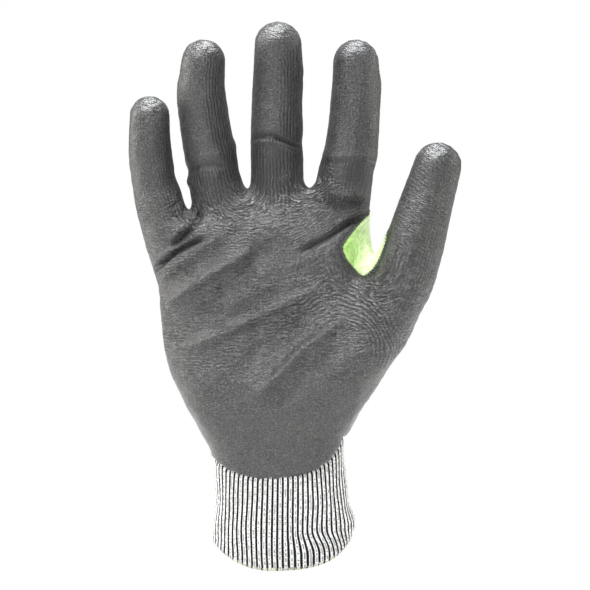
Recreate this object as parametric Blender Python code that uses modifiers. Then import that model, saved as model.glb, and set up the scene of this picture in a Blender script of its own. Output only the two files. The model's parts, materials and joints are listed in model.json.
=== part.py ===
"""Cut resistant work glove, right hand, standing open as it does on a hand.

Metres, +Z towards the fingertips, the palm faces -Y and the thumb points to +X.
The origin is the centre of the cuff's open lower end.

A seamless knitted liner carries a dipped coating on its palm side, a patch in
the thumb crotch and a ribbed cuff with an elastic yarn and an overlocked hem.
The liner is divided where the hand inside folds it: each fold has an axis, and
the walls are cut back from it by half of the fold's range. The coating over a
fold is a skin of its own.
"""

import math

import bmesh
import bpy
from mathutils import Vector

MM = 0.001

# ---- driving dimensions, in millimetres and degrees ----
COAT = 0.8  # thickness of the dipped coating
GAP = 0.3  # clearance between touching pieces
KNIT = 1.2  # thickness of the knitted liner
RIB_WALL = 2.0  # thickness of the ribbed cuff
PIP_SHIFT = 1.5  # finger axes lie this far to the palm side of the finger's middle
NOTCH_SPARE = 2.0  # extra angle cut back at each side of a fold
FINGER_DEPTH = 0.96  # depth over width of a finger
SIDES_FINGER = 16
SIDES_PALM = 28
COAT_WRAP = 3.0  # the coating reaches this far behind the widest line

WRIST_Z = 53.5  # level of the wrist fold
CUFF_TOP = 41.0
WRIST_SLEEVE_TOP = 66.0
HEM_BEAD = 1.6  # radius of the overlocked edge
HEM_RISE = 7.0  # the hem lies higher at the sides of the wrist
COAT_EDGE = ((4.0, 41.4), (31.0, 63.0))  # the dip's edge climbs on the thumb side
ELASTIC = 0.45  # radius of the elastic yarn
ELASTIC_TURNS = 3

# centre x, y, z and half width along each finger, from inside the palm to the tip
FINGERS = {
    "index": [(22.5, 1, 132, 12.0), (24.6, 1, 145, 13.2), (26.5, 0.5, 158, 13.3), (29.2, 0, 178, 12.9), (31.8, -1, 192, 12.3), (33.3, -2, 206, 11.7), (34.1, -4, 219, 11.4), (34.3, -6.5, 230.6, 10.9)],
    "middle": [(-1.5, 2, 150, 13.0), (-1.6, 1.5, 165, 12.9), (-1.8, 1, 178, 12.3), (-2.0, 0, 196, 12.1), (-1.8, -1, 212, 11.8), (-1.6, -3, 226, 11.4), (-1.5, -6, 238.9, 10.7)],
    "ring": [(-24, 2, 140, 13.2), (-26.8, 1.5, 160, 13.0), (-29.8, 1, 176, 12.4), (-32.8, 0, 193, 11.9), (-35.2, -1, 208, 11.4), (-35.9, -3, 221, 11.0), (-35.4, -5.5, 231.2, 10.5)],
    "little": [(-42.5, 1.5, 124, 10.0), (-46.2, 1.5, 137, 11.2), (-49.8, 1, 148, 11.6), (-54.6, 0.5, 164, 11.2), (-57.6, -0.5, 176, 10.3), (-59.1, -2, 187, 10.0), (-59.6, -4, 197, 9.7), (-59.5, -6, 206.4, 9.3)],
    "thumb": [(23.5, -2, 75, 9.0), (29.6, -3, 85.5, 12.2), (36, -5, 96, 13.1), (43.5, -7, 107, 13.9), (50.8, -10, 121, 14.4), (56.3, -12.5, 134, 14.2), (60.7, -15, 148, 13.6), (64.6, -17, 162, 12.5), (68.2, -18, 175, 11.5), (70.9, -19, 184.3, 10.7)],
}
# the palm's level sections: z, least x, greatest x, front y, back y
PALM = [
    (41, -31.4, 29.6, -22, 21), (52, -31.6, 29.6, -21.5, 20.5), (59, -34.5, 30.2, -21.5, 19.5),
    (66, -38.4, 32.5, -21.5, 18.5), (77, -45.0, 36.5, -21, 17.5), (88, -50.0, 40.5, -20.3, 16.8),
    (100, -53.2, 42.0, -19.5, 16), (114, -54.8, 41.5, -18.5, 16), (128, -55.6, 39.5, -17.5, 15.5),
    (140, -56.4, 38.2, -16.5, 15), (150, -57.5, 38.2, -15.5, 14.5), (157, -57, 37.6, -14.5, 13.5),
    (161.5, -44, 36.5, -12.5, 12), (168, -36, 34, -9.5, 9.5), (174.3, -30, 26, -6, 6),
]
PALM_SQUARE = 2.5  # exponent of the palm's rounded sections
# the cuff's level sections: z, least x, greatest x, half depth
CUFF = [(0, -30.2, 31.0, 20.4), (8, -31.4, 31.8, 21.0), (19, -31.6, 33.6, 21.4), (28, -31.0, 32.0, 21.2), (41, -31.2, 30.2, 21.2)]

# fold axes: level z on the finger's centreline, and the range towards the palm
FINGER_FOLDS = {"index": (188, 213), "middle": (197, 222), "ring": (188, 213), "little": (176, 193.5)}
FOLD_RANGE = (90.0, 50.0)
THUMB_FOLDS = (129.0, 163.0)
THUMB_RANGE = (45.0, 65.0)
THUMB_FLEX = Vector((-0.62, -0.78, 0.0))  # the thumb curls this way
# the knuckle line runs obliquely across the palm
KNUCKLES = (Vector((-52, 0, 142)), Vector((28, 0, 156)))
KNUCKLE_RANGE = (-15.0, 80.0)
# the thumb swings forward about a line along the palm's thumb side
THUMB_ROOT = (Vector((29.0, -2, 76)), Vector((37.6, -2, 134)))
THUMB_ROOT_RANGE = (-10.0, 40.0)

FAR = 90.0

# ---- scene ----
for old in list(bpy.data.objects):
    bpy.data.objects.remove(old, do_unlink=True)

glove_parts = bpy.data.collections.new("cut_resistant_glove")
guides = bpy.data.collections.new("cutters")
bpy.context.scene.collection.children.link(glove_parts)
bpy.context.scene.collection.children.link(guides)


def material(name, colour, roughness, metallic=0.0):
    made = bpy.data.materials.new(name)
    made.use_nodes = True
    shader = made.node_tree.nodes["Principled BSDF"]
    shader.inputs["Base Color"].default_value = (*colour, 1.0)
    shader.inputs["Roughness"].default_value = roughness
    shader.inputs["Metallic"].default_value = metallic
    return made


def mesh_object(name, points, faces, collection=None):
    """A mesh from points in millimetres, with its faces turned outwards."""
    build = bmesh.new()
    corners = [build.verts.new(Vector(p) * MM) for p in points]
    for face in faces:
        build.faces.new([corners[i] for i in face])
    bmesh.ops.recalc_face_normals(build, faces=build.faces)
    mesh = bpy.data.meshes.new(name)
    build.to_mesh(mesh)
    build.free()
    made = bpy.data.objects.new(name, mesh)
    (collection or guides).objects.link(made)
    if collection is None or collection is guides:
        made.hide_render = True
        made.display_type = "WIRE"
    return made


def loft(name, rings, tip=None, collection=None):
    """A closed solid through equal rings of points, with a flat start and a flat or pointed end."""
    n = len(rings[0])
    points = [p for ring in rings for p in ring]
    faces = []
    for k in range(len(rings) - 1):
        for i in range(n):
            j = (i + 1) % n
            faces.append((k * n + i, k * n + j, (k + 1) * n + j, (k + 1) * n + i))
    faces.append(tuple(range(n)))
    last = (len(rings) - 1) * n
    if tip is None:
        faces.append(tuple(range(last, last + n)))
    else:
        points.append(tip)
        faces.extend((last + i, last + (i + 1) % n, len(points) - 1) for i in range(n))
    return mesh_object(name, points, faces, collection)


def spline(stations, t):
    """A smooth curve through the stations; t counts stations."""
    last = len(stations) - 1
    k = min(int(t), last - 1)
    u = t - k
    p = [Vector(stations[min(max(k + i, 0), last)]) for i in (-1, 0, 1, 2)]
    return 0.5 * (2 * p[1] + (p[2] - p[0]) * u + (2 * p[0] - 5 * p[1] + 4 * p[2] - p[3]) * u**2 + (3 * (p[1] - p[2]) + p[3] - p[0]) * u**3)


def finger_frame(name, t):
    """Centre, direction, sideways axis, back direction and half width at t along a finger."""
    stations = FINGERS[name]
    here = spline(stations, t)
    step = 0.05
    a, b = spline(stations, max(t - step, 0)), spline(stations, min(t + step, len(stations) - 1))
    along = Vector((b - a)[:3]).normalized()
    flex = THUMB_FLEX if name == "thumb" else Vector((0, -1, 0))
    side = along.cross(flex).normalized()
    back = side.cross(along).normalized() * -1
    if back.dot(flex) > 0:
        back = -back
    return Vector(here[:3]), along, side, back, here[3]


def finger_at(name, z):
    """The t at which the finger's centreline reaches the level z."""
    low, high = 0.0, len(FINGERS[name]) - 1.0
    for _ in range(40):
        middle = (low + high) / 2
        if spline(FINGERS[name], middle)[2] < z:
            low = middle
        else:
            high = middle
    return low


def finger_solid(name, inset):
    stations = FINGERS[name]
    last = len(stations) - 1
    rings = []
    for k in range(last + 1):
        centre, along, side, back, half = finger_frame(name, k)
        half -= inset
        depth = half * FINGER_DEPTH
        rings.append([centre + side * half * math.cos(a) + back * depth * math.sin(a) for a in angles(SIDES_FINGER)])
    for tilt in (30, 60):
        c, s = math.cos(math.radians(tilt)), math.sin(math.radians(tilt))
        top = centre + along * half * s
        rings.append([top + side * half * c * math.cos(a) + back * depth * c * math.sin(a) for a in angles(SIDES_FINGER)])
    return loft(f"{name}_{inset}", rings, centre + along * half)


def angles(n):
    return [2 * math.pi * (i + 0.5) / n for i in range(n)]


def rounded(value, power):
    return math.copysign(abs(value) ** power, value)


def palm_solid(inset, drop):
    """The palm; an inner solid drops below the outer one, so that their difference is open at the wrist."""
    rings = []
    for k, (z, left, right, front, back) in enumerate(PALM):
        level = z - (inset if k == len(PALM) - 1 else 0) - (drop if k == 0 else 0)
        cx, cy = (left + right) / 2, (front + back) / 2
        hx, hy = (right - left) / 2 - inset, (back - front) / 2 - inset
        rings.append([
            Vector((cx + hx * rounded(math.cos(a), 2 / PALM_SQUARE), cy + hy * rounded(math.sin(a), 2 / PALM_SQUARE), level))
            for a in angles(SIDES_PALM)
        ])
    return loft(f"palm_{inset}", rings)


def evaluated(obj, name):
    """The object with its modifiers applied, as a new guide."""
    bpy.context.view_layer.update()
    graph = bpy.context.evaluated_depsgraph_get()
    mesh = bpy.data.meshes.new_from_object(obj.evaluated_get(graph))
    made = bpy.data.objects.new(name, mesh)
    guides.objects.link(made)
    made.hide_render = True
    made.display_type = "WIRE"
    return made


def boolean(obj, other, operation, solver="EXACT"):
    cut = obj.modifiers.new(operation.lower() + "_" + other.name, "BOOLEAN")
    cut.operation = operation
    cut.object = other
    cut.solver = solver


def combined(name, first, others, operation):
    for other in others:
        boolean(first, other, operation)
    made = evaluated(first, name)
    first.modifiers.clear()
    return made


def glove_solid(inset, drop=0.0):
    """The whole hand part of the glove as one solid, with its skin moved in by inset."""
    palm = palm_solid(inset, drop)
    return combined(f"glove_{inset}", palm, [finger_solid(name, inset) for name in FINGERS], "UNION")


outer = glove_solid(0.0)
under_coat = glove_solid(COAT, 2.0)
knit_outer = glove_solid(COAT + GAP)
knit_inner = glove_solid(COAT + GAP + KNIT, 2.0)


liner = combined("liner_whole", knit_outer, [knit_inner], "DIFFERENCE")
skin = combined("skin_whole", outer, [under_coat], "DIFFERENCE")


# ---- folds ----
class Fold:
    """A fold axis with the two planes that bound the walls on each side of it."""

    def __init__(self, centre, axis, along, low, high, width):
        self.axis = axis.normalized()
        self.along = (along - self.axis * along.dot(self.axis)).normalized()
        self.back = self.along.cross(self.axis).normalized()
        self.centre = centre
        self.palm_slope = math.tan(math.radians(high / 2 + NOTCH_SPARE)) if high > 0 else 0
        self.back_slope = math.tan(math.radians(-low / 2 + (NOTCH_SPARE if low < 0 else 0)))
        self.width = width

    def line(self, side, height, beyond, shift=0.0):
        """Points at both ends of the axis, on the near or far wall's edge."""
        slope = self.palm_slope if height < 0 else self.back_slope
        offset = beyond * (GAP / 2 + abs(height) * slope) + shift
        mid = self.centre + self.back * height + self.along * offset
        ends = side if isinstance(side, tuple) else (side, side)
        return [mid - self.axis * ends[0], mid + self.axis * ends[1]]

    def block(self, name, wall, reach, heights, width=None, shift=0.0):
        """A block from the near (-1) or far (1) wall that reaches this far along the fold's direction."""
        w = width or self.width
        low, high = heights
        levels = (-low, 0, high)
        rows = [self.line(w, h, wall, shift) for h in levels]
        top = [[p + self.along * reach for p in self.line(w, h, 0)] for h in levels]
        return prism(name, rows, top)


def prism(name, rows, top):
    """A block between two bent faces, each given as three lines across it."""
    points = [p for pair in rows + top for p in pair]
    faces = [(0, 1, 3, 2), (2, 3, 5, 4), (6, 7, 9, 8), (8, 9, 11, 10), (0, 2, 4, 10, 8, 6), (1, 3, 5, 11, 9, 7), (0, 1, 7, 6), (4, 5, 11, 10)]
    return mesh_object(name, points, faces)


def finger_fold(name, z, reach, width):
    centre, along, side, back, half = finger_frame(name, finger_at(name, z))
    return Fold(centre - back * PIP_SHIFT, side, along, 0, reach, width)


def between(name, first, second, heights, width):
    """The block between two folds of one finger."""
    low, high = heights
    rows = [first.line(width, h, 1) for h in (-low, 0, high)]
    top = [second.line(width, h, -1) for h in (-low, 0, high)]
    return prism(name, rows, top)


def plain_cut(name, z, width):
    """A straight division across a finger, with no fold in it."""
    centre, along, side, back, half = finger_frame(name, finger_at(name, z))
    return Fold(centre, side, along, 0, 0, width)


folds = {}
for name, (pip, dip) in FINGER_FOLDS.items():
    folds[name] = (finger_fold(name, pip, FOLD_RANGE[0], 14.0), finger_fold(name, dip, FOLD_RANGE[1], 14.0))
thumb_base_fold = finger_fold("thumb", THUMB_FOLDS[0], THUMB_RANGE[0], 26.0)
thumb_tip_fold = finger_fold("thumb", THUMB_FOLDS[1], THUMB_RANGE[1], 17.0)
knuckle_line = (KNUCKLES[1] - KNUCKLES[0]).normalized()
knuckles = Fold((KNUCKLES[0] + KNUCKLES[1]) / 2, knuckle_line, Vector((0, 0, 1)), *KNUCKLE_RANGE, 90.0)
root_line = (THUMB_ROOT[1] - THUMB_ROOT[0]).normalized()
# seen along this axis the thumb side is "beyond"; a positive turn swings it forward
thumb_root = Fold((THUMB_ROOT[0] + THUMB_ROOT[1]) / 2, -root_line, Vector((1, 0, 0)), *THUMB_ROOT_RANGE, 90.0)


def block(name, low, high):
    (x0, y0, z0), (x1, y1, z1) = low, high
    points = [(x, y, z) for z in (z0, z1) for y in (y0, y1) for x in (x0, x1)]
    faces = [(0, 1, 3, 2), (4, 5, 7, 6), (0, 1, 5, 4), (2, 3, 7, 6), (0, 2, 6, 4), (1, 3, 7, 5)]
    return mesh_object(name, points, faces)


def cut_between(name, a, b, side):
    """Everything on one side of the upright plane through two points of the xz plane."""
    a, b = Vector((a[0], 0, a[1])), Vector((b[0], 0, b[1]))
    along = (b - a).normalized()
    out = Vector((along.z, 0, -along.x)) * side
    corners = [a, b, b + out * 120, a + out * 120]
    points = [c + Vector((0, y, 0)) for y in (-60, 60) for c in corners]
    faces = [(0, 1, 2, 3), (4, 5, 6, 7), (0, 1, 5, 4), (1, 2, 6, 5), (2, 3, 7, 6), (3, 0, 4, 7)]
    return mesh_object(name, points, faces)


def largest_body(obj):
    """Small scraps that a cut leaves behind are dropped."""
    build = bmesh.new()
    build.from_mesh(obj.data)
    bmesh.ops.remove_doubles(build, verts=build.verts, dist=0.00001)
    bmesh.ops.dissolve_degenerate(build, edges=build.edges, dist=0.00001)
    build.verts.ensure_lookup_table()
    seen, groups = set(), []
    for vert in build.verts:
        if vert in seen:
            continue
        group, stack = [], [vert]
        seen.add(vert)
        while stack:
            v = stack.pop()
            group.append(v)
            for edge in v.link_edges:
                w = edge.other_vert(v)
                if w not in seen:
                    seen.add(w)
                    stack.append(w)
        groups.append(group)
    groups.sort(key=len)
    if len(groups) > 1:
        print(obj.name, "scraps dropped:", [len(g) for g in groups])
    for group in groups[:-1]:
        bmesh.ops.delete(build, geom=group, context="VERTS")
    build.to_mesh(obj.data)
    build.free()


def piece(name, source, keep, remove, look, solver="MANIFOLD"):
    """A named part: the source inside the kept block and outside the removed ones. EXACT loses the thin skins."""
    made = bpy.data.objects.new(name, source.data.copy())
    glove_parts.objects.link(made)
    for other in keep:
        boolean(made, other, "INTERSECT", solver)
    for other in remove:
        boolean(made, other, "DIFFERENCE", solver)
    solid = evaluated(made, name + "_solid")
    made.modifiers.clear()
    made.data = solid.data
    bpy.data.objects.remove(solid)
    largest_body(made)
    made.data.materials.clear()
    made.data.materials.append(look)
    for polygon in made.data.polygons:
        polygon.use_smooth = True
    made.data.set_sharp_from_angle(angle=math.radians(35))
    return made


KNIT_LOOK = material("knit_heather_grey", (0.32, 0.32, 0.33), 0.95)
COAT_LOOK = material("coating_dark_grey", (0.11, 0.11, 0.115), 0.62)
PATCH_LOOK = material("patch_lime", (0.30, 0.72, 0.11), 0.38)
CUFF_LOOK = material("rib_white_black", (0.55, 0.55, 0.55), 0.95)
HEM_LOOK = material("hem_pale_yellow", (0.62, 0.63, 0.36), 0.9)
ELASTIC_LOOK = material("elastic_white", (0.75, 0.75, 0.73), 0.8)

# ---- blocks that divide the glove ----
ALL = (60, 60)
hand_block = block("hand_block", (-80, -60, WRIST_SLEEVE_TOP + GAP / 2), (60, 60, 260))
past_knuckles = knuckles.block("past_knuckles", 1, 160, ALL)
short_of_knuckles = knuckles.block("short_of_knuckles", -1, -160, ALL)
# the slot between the index finger and the thumb continues upwards from the crotch
index_side = cut_between("index_side", (37.2, 120), (50.5, 182), -1)
thumb_side = cut_between("thumb_side", (37.5, 120), (50.8, 182), 1)
index_corner = block("index_corner", (-80, -60, 133.0), (37.9, 60, 260))
root_half = (THUMB_ROOT[1] - THUMB_ROOT[0]).length / 2
past_root = thumb_root.block("past_root", 1, 120, ALL, (root_half + 80, root_half - GAP))
root_slot = thumb_root.block("root_slot", -1, 120, ALL, (root_half + 5, root_half))
past = {name: f[0].block(f"past_{name}", -1, 90, (22, 22), 15.5) for name, f in folds.items()}
thumb_to_base = thumb_base_fold.block("thumb_to_base", -1, -90, (40, 40), 60)
past_thumb_base = thumb_base_fold.block("past_thumb_base", -1, 90, (40, 40), 25)

# ---- the liner ----
piece("liner_hand", liner, [hand_block, short_of_knuckles], [root_slot, thumb_side], KNIT_LOOK)
piece("liner_finger_base", liner, [past_knuckles, index_side], list(past.values()), KNIT_LOOK)
for name, (pip, dip) in folds.items():
    piece(f"liner_{name}_middle", liner, [between(f"{name}_middle_block", pip, dip, (22, 22), 14)], [], KNIT_LOOK)
    piece(f"liner_{name}_tip", liner, [dip.block(f"{name}_tip_block", 1, 60, (22, 22), 14)], [], KNIT_LOOK)
piece("liner_thumb_base", liner, [past_root, thumb_to_base], [index_corner], KNIT_LOOK)
piece("liner_thumb_middle", liner, [between("thumb_middle_block", thumb_base_fold, thumb_tip_fold, (40, 40), 26), thumb_side], [], KNIT_LOOK)
piece("liner_thumb_tip", liner, [thumb_tip_fold.block("thumb_tip_block", 1, 60, (24, 24), 20)], [], KNIT_LOOK)
sleeve_block = block("sleeve_block", (-80, -60, CUFF_TOP + GAP / 2), (60, 60, WRIST_SLEEVE_TOP - GAP / 2))
piece("rib_cuff_wrist", liner, [sleeve_block], [], CUFF_LOOK)

# ---- the coating, on the palm side only ----
FRONT = (60, COAT_WRAP)


def reach_of(fold, depth):
    """How far from its axis a fold's notch opens at this depth."""
    return depth * fold.palm_slope + 0.6


knuckle_reach = reach_of(knuckles, 15.6)
root_reach = reach_of(thumb_root, 18.5)
palm_front = block("palm_front", (-80, -60, WRIST_SLEEVE_TOP + GAP / 2), (60, COAT_WRAP, 260))
edge_front = block("edge_front", (-80, -60, CUFF_TOP + GAP / 2), (60, COAT_WRAP, WRIST_SLEEVE_TOP - GAP / 2))
row_front = block("row_front", (-80, -60, 100), (60, COAT_WRAP, 260))
# flat cuts on each side of the knuckle fold and of the thumb's root
knuckle_plain = Fold(knuckles.centre, knuckles.axis, knuckles.along, 0, 0, 90.0)
root_plain = Fold(thumb_root.centre, thumb_root.axis, thumb_root.along, 0, 0, 90.0)
to_knuckles = knuckle_plain.block("coat_to_knuckles", -1, -160, ALL, None, -knuckle_reach)
from_knuckles = knuckle_plain.block("coat_from_knuckles", 1, 160, ALL, None, knuckle_reach)
fold_low = knuckle_plain.block("coat_fold_low", 1, 160, ALL, None, -knuckle_reach)
fold_high = knuckle_plain.block("coat_fold_high", -1, -160, ALL, None, knuckle_reach)
root_gap = root_plain.block("coat_root_slot", -1, 120, ALL, (root_half + 5, root_half), -root_reach)
root_keep = root_plain.block("coat_root_keep", 1, 120, ALL, (root_half + 80, root_half - GAP), -root_reach)

finger_cuts = {}
for name, (pip, dip) in folds.items():
    low, high = FINGER_FOLDS[name]
    depth = FINGERS[name][3][3] * FINGER_DEPTH - PIP_SHIFT
    tip_reach = depth * dip.palm_slope
    foot = plain_cut(name, low - reach_of(pip, depth), 15.5)
    middle = plain_cut(name, (low + reach_of(pip, depth) + high - tip_reach) / 2, 14)
    finger_cuts[name] = (foot, middle)
past_foot = [foot.block(f"coat_past_{name}", -1, 90, (22, 22), 15.5) for name, (foot, middle) in finger_cuts.items()]

piece("coating_palm", skin, [palm_front, to_knuckles], [root_gap, thumb_side], COAT_LOOK)
piece("coating_wrist", skin, [edge_front], [cut_between("dip_edge", *COAT_EDGE, 1)], COAT_LOOK)
piece("coating_knuckles", skin, [row_front, fold_low, fold_high, index_side], [root_gap], COAT_LOOK)
piece("coating_finger_base", skin, [row_front, from_knuckles, index_side], past_foot, COAT_LOOK)
for name, (foot, middle) in finger_cuts.items():
    piece(f"coating_{name}_middle", skin, [between(f"coat_{name}_middle", foot, middle, (22, COAT_WRAP), 15.5 if name != "little" else 14.0)], [], COAT_LOOK)
    piece(f"coating_{name}_tip", skin, [middle.block(f"coat_{name}_tip", 1, 60, (22, COAT_WRAP), 14)], [], COAT_LOOK)
thumb_foot = plain_cut("thumb", THUMB_FOLDS[0] - reach_of(thumb_base_fold, 12.0), 60)
thumb_half = plain_cut("thumb", (THUMB_FOLDS[0] + THUMB_FOLDS[1]) / 2, 26)
piece("coating_thumb_base", skin, [root_keep, thumb_foot.block("coat_thumb_base", -1, -90, (60, COAT_WRAP), 60)], [index_corner], COAT_LOOK)
piece("coating_thumb_middle", skin, [between("coat_thumb_middle", thumb_foot, thumb_half, (40, COAT_WRAP), 26), thumb_side], [index_corner], COAT_LOOK)
piece("coating_thumb_tip", skin, [thumb_half.block("coat_thumb_tip", 1, 60, (24, COAT_WRAP), 20)], [], COAT_LOOK)

# ---- the patch over the thumb crotch ----
patch_outer = glove_solid(-(GAP + COAT))
patch_inner = glove_solid(-GAP, 2.0)
patch_shell = combined("patch_whole", patch_outer, [patch_inner], "DIFFERENCE")
piece("thumb_crotch_patch", patch_shell, [block("patch_block", (28.5, -19.0, 124.0), (47.5, 9.0, 158.0))], [cut_between("patch_low", (28.0, 138.0), (47.0, 126.0), 1), block("patch_away", (44.0, -60, 146.0), (90, 60, 260))], PATCH_LOOK)


# ---- the ribbed cuff, its hem and its elastic yarn ----
def cuff_point(z, angle, inset):
    """A point of the cuff's wall: round sections between the stated levels."""
    k = max(i for i in range(len(CUFF) - 1) if CUFF[i][0] <= z or i == 0)
    low, high = CUFF[k], CUFF[k + 1]
    u = min(max((z - low[0]) / (high[0] - low[0]), 0), 1)
    left, right, depth = (low[i] + (high[i] - low[i]) * u for i in (1, 2, 3))
    cx, half = (left + right) / 2, (right - left) / 2
    return Vector((cx + (half - inset) * math.cos(angle), (depth - inset) * math.sin(angle), 0))


def hem_rise(angle):
    return HEM_RISE * math.cos(angle) ** 2


SIDES_CUFF = 36
rings = []
foot_z = 2 * HEM_BEAD + GAP
for k in range(6):
    ring = []
    for a in angles(SIDES_CUFF):
        low = foot_z + hem_rise(a)
        z = low + (CUFF_TOP - GAP / 2 - low) * k / 5
        ring.append(cuff_point(z, a, 0) + Vector((0, 0, z)))
    rings.append(ring)
cuff_faces = [
    (k * SIDES_CUFF + i, k * SIDES_CUFF + (i + 1) % SIDES_CUFF, (k + 1) * SIDES_CUFF + (i + 1) % SIDES_CUFF, (k + 1) * SIDES_CUFF + i)
    for k in range(5)
    for i in range(SIDES_CUFF)
]
cuff = mesh_object("rib_cuff", [p for ring in rings for p in ring], cuff_faces, glove_parts)
wall = cuff.modifiers.new("wall", "SOLIDIFY")
wall.thickness = RIB_WALL * MM
wall.offset = -1.0
cuff.data.materials.append(CUFF_LOOK)
for polygon in cuff.data.polygons:
    polygon.use_smooth = True


def yarn(name, points, radius, cyclic, look, resolution):
    """A thread along the points, as a curve with a round bevel."""
    curve = bpy.data.curves.new(name, "CURVE")
    curve.dimensions = "3D"
    curve.bevel_depth = radius * MM
    curve.bevel_resolution = resolution
    curve.use_fill_caps = True
    line = curve.splines.new("POLY")
    line.points.add(len(points) - 1)
    for place, point in zip(line.points, points):
        place.co = (*(point * MM), 1.0)
    line.use_cyclic_u = cyclic
    made = bpy.data.objects.new(name, curve)
    glove_parts.objects.link(made)
    curve.materials.append(look)
    return made


hem_line = [cuff_point(HEM_BEAD, a, RIB_WALL / 2) + Vector((0, 0, HEM_BEAD + hem_rise(a))) for a in angles(48)]
yarn("overlock_hem", hem_line, HEM_BEAD, True, HEM_LOOK, 2)
coil = []
for k in range(18 * ELASTIC_TURNS + 1):
    a = 2 * math.pi * k / 18
    z = 17.0 + 5.0 * k / 18
    coil.append(cuff_point(z, a, RIB_WALL + GAP + ELASTIC + 0.35) + Vector((0, 0, z)))
yarn("cuff_elastic", coil, ELASTIC, False, ELASTIC_LOOK, 1)

# ---- a moving piece has its origin on its fold's axis ----
PIVOTS = {"hand": Vector((0, 0, WRIST_Z)), "finger_base": knuckles.centre, "thumb_base": thumb_root.centre, "thumb_middle": thumb_base_fold.centre, "thumb_tip": thumb_tip_fold.centre}
for name, (pip, dip) in folds.items():
    PIVOTS[f"{name}_middle"], PIVOTS[f"{name}_tip"] = pip.centre, dip.centre
BODY_OF = {"coating_palm": "hand", "coating_wrist": "hand", "rib_cuff_wrist": "hand", "coating_knuckles": "finger_base", "thumb_crotch_patch": "thumb_base"}
for made in list(glove_parts.objects):
    body = BODY_OF.get(made.name, made.name.partition("_")[2])
    if made.type == "MESH" and body in PIVOTS:
        pivot = PIVOTS[body] * MM
        for vert in made.data.vertices:
            vert.co -= pivot
        made.location = pivot
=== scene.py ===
"""The looks of the cut resistant glove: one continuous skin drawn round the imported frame, cut at its joints into
pieces that bend, with the ribbed cuff, its overlocked hem and the lining inside. Lengths here are in millimetres
until a mesh is made."""

import json
import math

import bpy
import numpy as np
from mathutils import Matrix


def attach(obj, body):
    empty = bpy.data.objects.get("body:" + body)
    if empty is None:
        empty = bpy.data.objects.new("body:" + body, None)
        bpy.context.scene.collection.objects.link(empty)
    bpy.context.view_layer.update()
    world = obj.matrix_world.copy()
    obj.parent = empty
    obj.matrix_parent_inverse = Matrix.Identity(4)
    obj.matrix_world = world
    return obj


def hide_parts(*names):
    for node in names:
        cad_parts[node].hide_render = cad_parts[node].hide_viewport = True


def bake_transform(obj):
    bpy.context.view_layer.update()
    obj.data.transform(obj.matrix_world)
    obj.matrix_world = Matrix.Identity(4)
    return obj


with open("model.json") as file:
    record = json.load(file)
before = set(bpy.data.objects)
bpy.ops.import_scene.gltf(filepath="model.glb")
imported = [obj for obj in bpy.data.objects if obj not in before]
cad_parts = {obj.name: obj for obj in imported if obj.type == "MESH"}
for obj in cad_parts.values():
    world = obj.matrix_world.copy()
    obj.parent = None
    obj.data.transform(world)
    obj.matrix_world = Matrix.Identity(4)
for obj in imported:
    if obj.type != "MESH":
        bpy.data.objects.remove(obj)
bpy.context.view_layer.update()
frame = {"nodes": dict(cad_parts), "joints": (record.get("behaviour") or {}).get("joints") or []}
MM = 0.001
RNG = np.random.default_rng(7)

# ---------------------------------------------------------------- the form

# centre line of each finger, from its root to its tip: x, y, z, half width
LINES = {
    "index": [(22.5, 1, 132, 12.0), (24.6, 1, 145, 13.2), (26.5, 0.5, 158, 13.3), (29.2, 0, 178, 12.9),
              (32.1, -1, 192, 12.3), (33.6, -2, 206, 11.7), (34.3, -4, 219, 11.3), (34.1, -6.5, 231.4, 10.4)],
    "middle": [(-1.5, 2, 150, 13.0), (-1.6, 1.5, 165, 12.9), (-1.8, 1, 178, 12.3), (-2.0, 0, 196, 12.1),
               (-1.6, -1, 212, 11.8), (-1.4, -3, 226, 11.4), (-1.3, -6, 239.3, 10.7)],
    "ring": [(-24, 2, 140, 13.2), (-26.8, 1.5, 160, 13.0), (-29.9, 1, 176, 12.3), (-33.0, 0, 193, 11.8),
             (-35.4, -1, 208, 11.5), (-36.5, -3, 221, 11.0), (-35.2, -5.5, 232.0, 9.8)],
    "little": [(-42.5, 1.5, 124, 10.0), (-46.2, 1.5, 137, 11.2), (-50.0, 1, 148, 11.6), (-55.0, 0.5, 164, 11.2),
               (-57.9, -0.5, 176, 10.3), (-59.5, -2, 187, 10.0), (-60.1, -4, 197, 9.6), (-59.8, -6, 207.0, 9.1)],
    "thumb": [(23.5, -2, 75, 9.0), (29.4, -3, 85.5, 12.1), (35.8, -5, 96, 13.0), (43.2, -7, 107, 13.8),
              (50.2, -10, 121, 14.1), (55.7, -12.5, 134, 14.1), (60.2, -15, 148, 13.6), (64.1, -17, 162, 12.5),
              (67.8, -18, 175, 11.5), (70.6, -19, 184.7, 10.7)],
}
DEPTH = 0.96  # depth over width of a finger
# level sections of the palm: z, least x, greatest x, front y, back y
PALM = [(38, -32.2, 29.6, -22, 21), (52, -32.5, 29.6, -21.5, 20.5), (59, -35.2, 30.2, -21.5, 19.5),
        (66, -38.4, 32.3, -21.5, 18.5), (77, -45, 35.9, -21, 17.5), (88, -50.2, 39.8, -20.3, 16.8),
        (100, -53.7, 41.8, -19.5, 16), (114, -55.2, 41.5, -18.5, 16), (128, -55.6, 40.5, -17.5, 15.5),
        (140, -56.4, 41.0, -16.5, 15), (150, -57.5, 39.0, -15.5, 14.5), (157, -57, 37.6, -14.5, 13.5),
        (161.5, -44, 36.5, -12.5, 12), (168, -36, 34, -9.5, 9.5), (173.0, -30, 26, -6, 6)]
PALM_POWER = 2.5
PALM_TOP = 172.2
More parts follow.
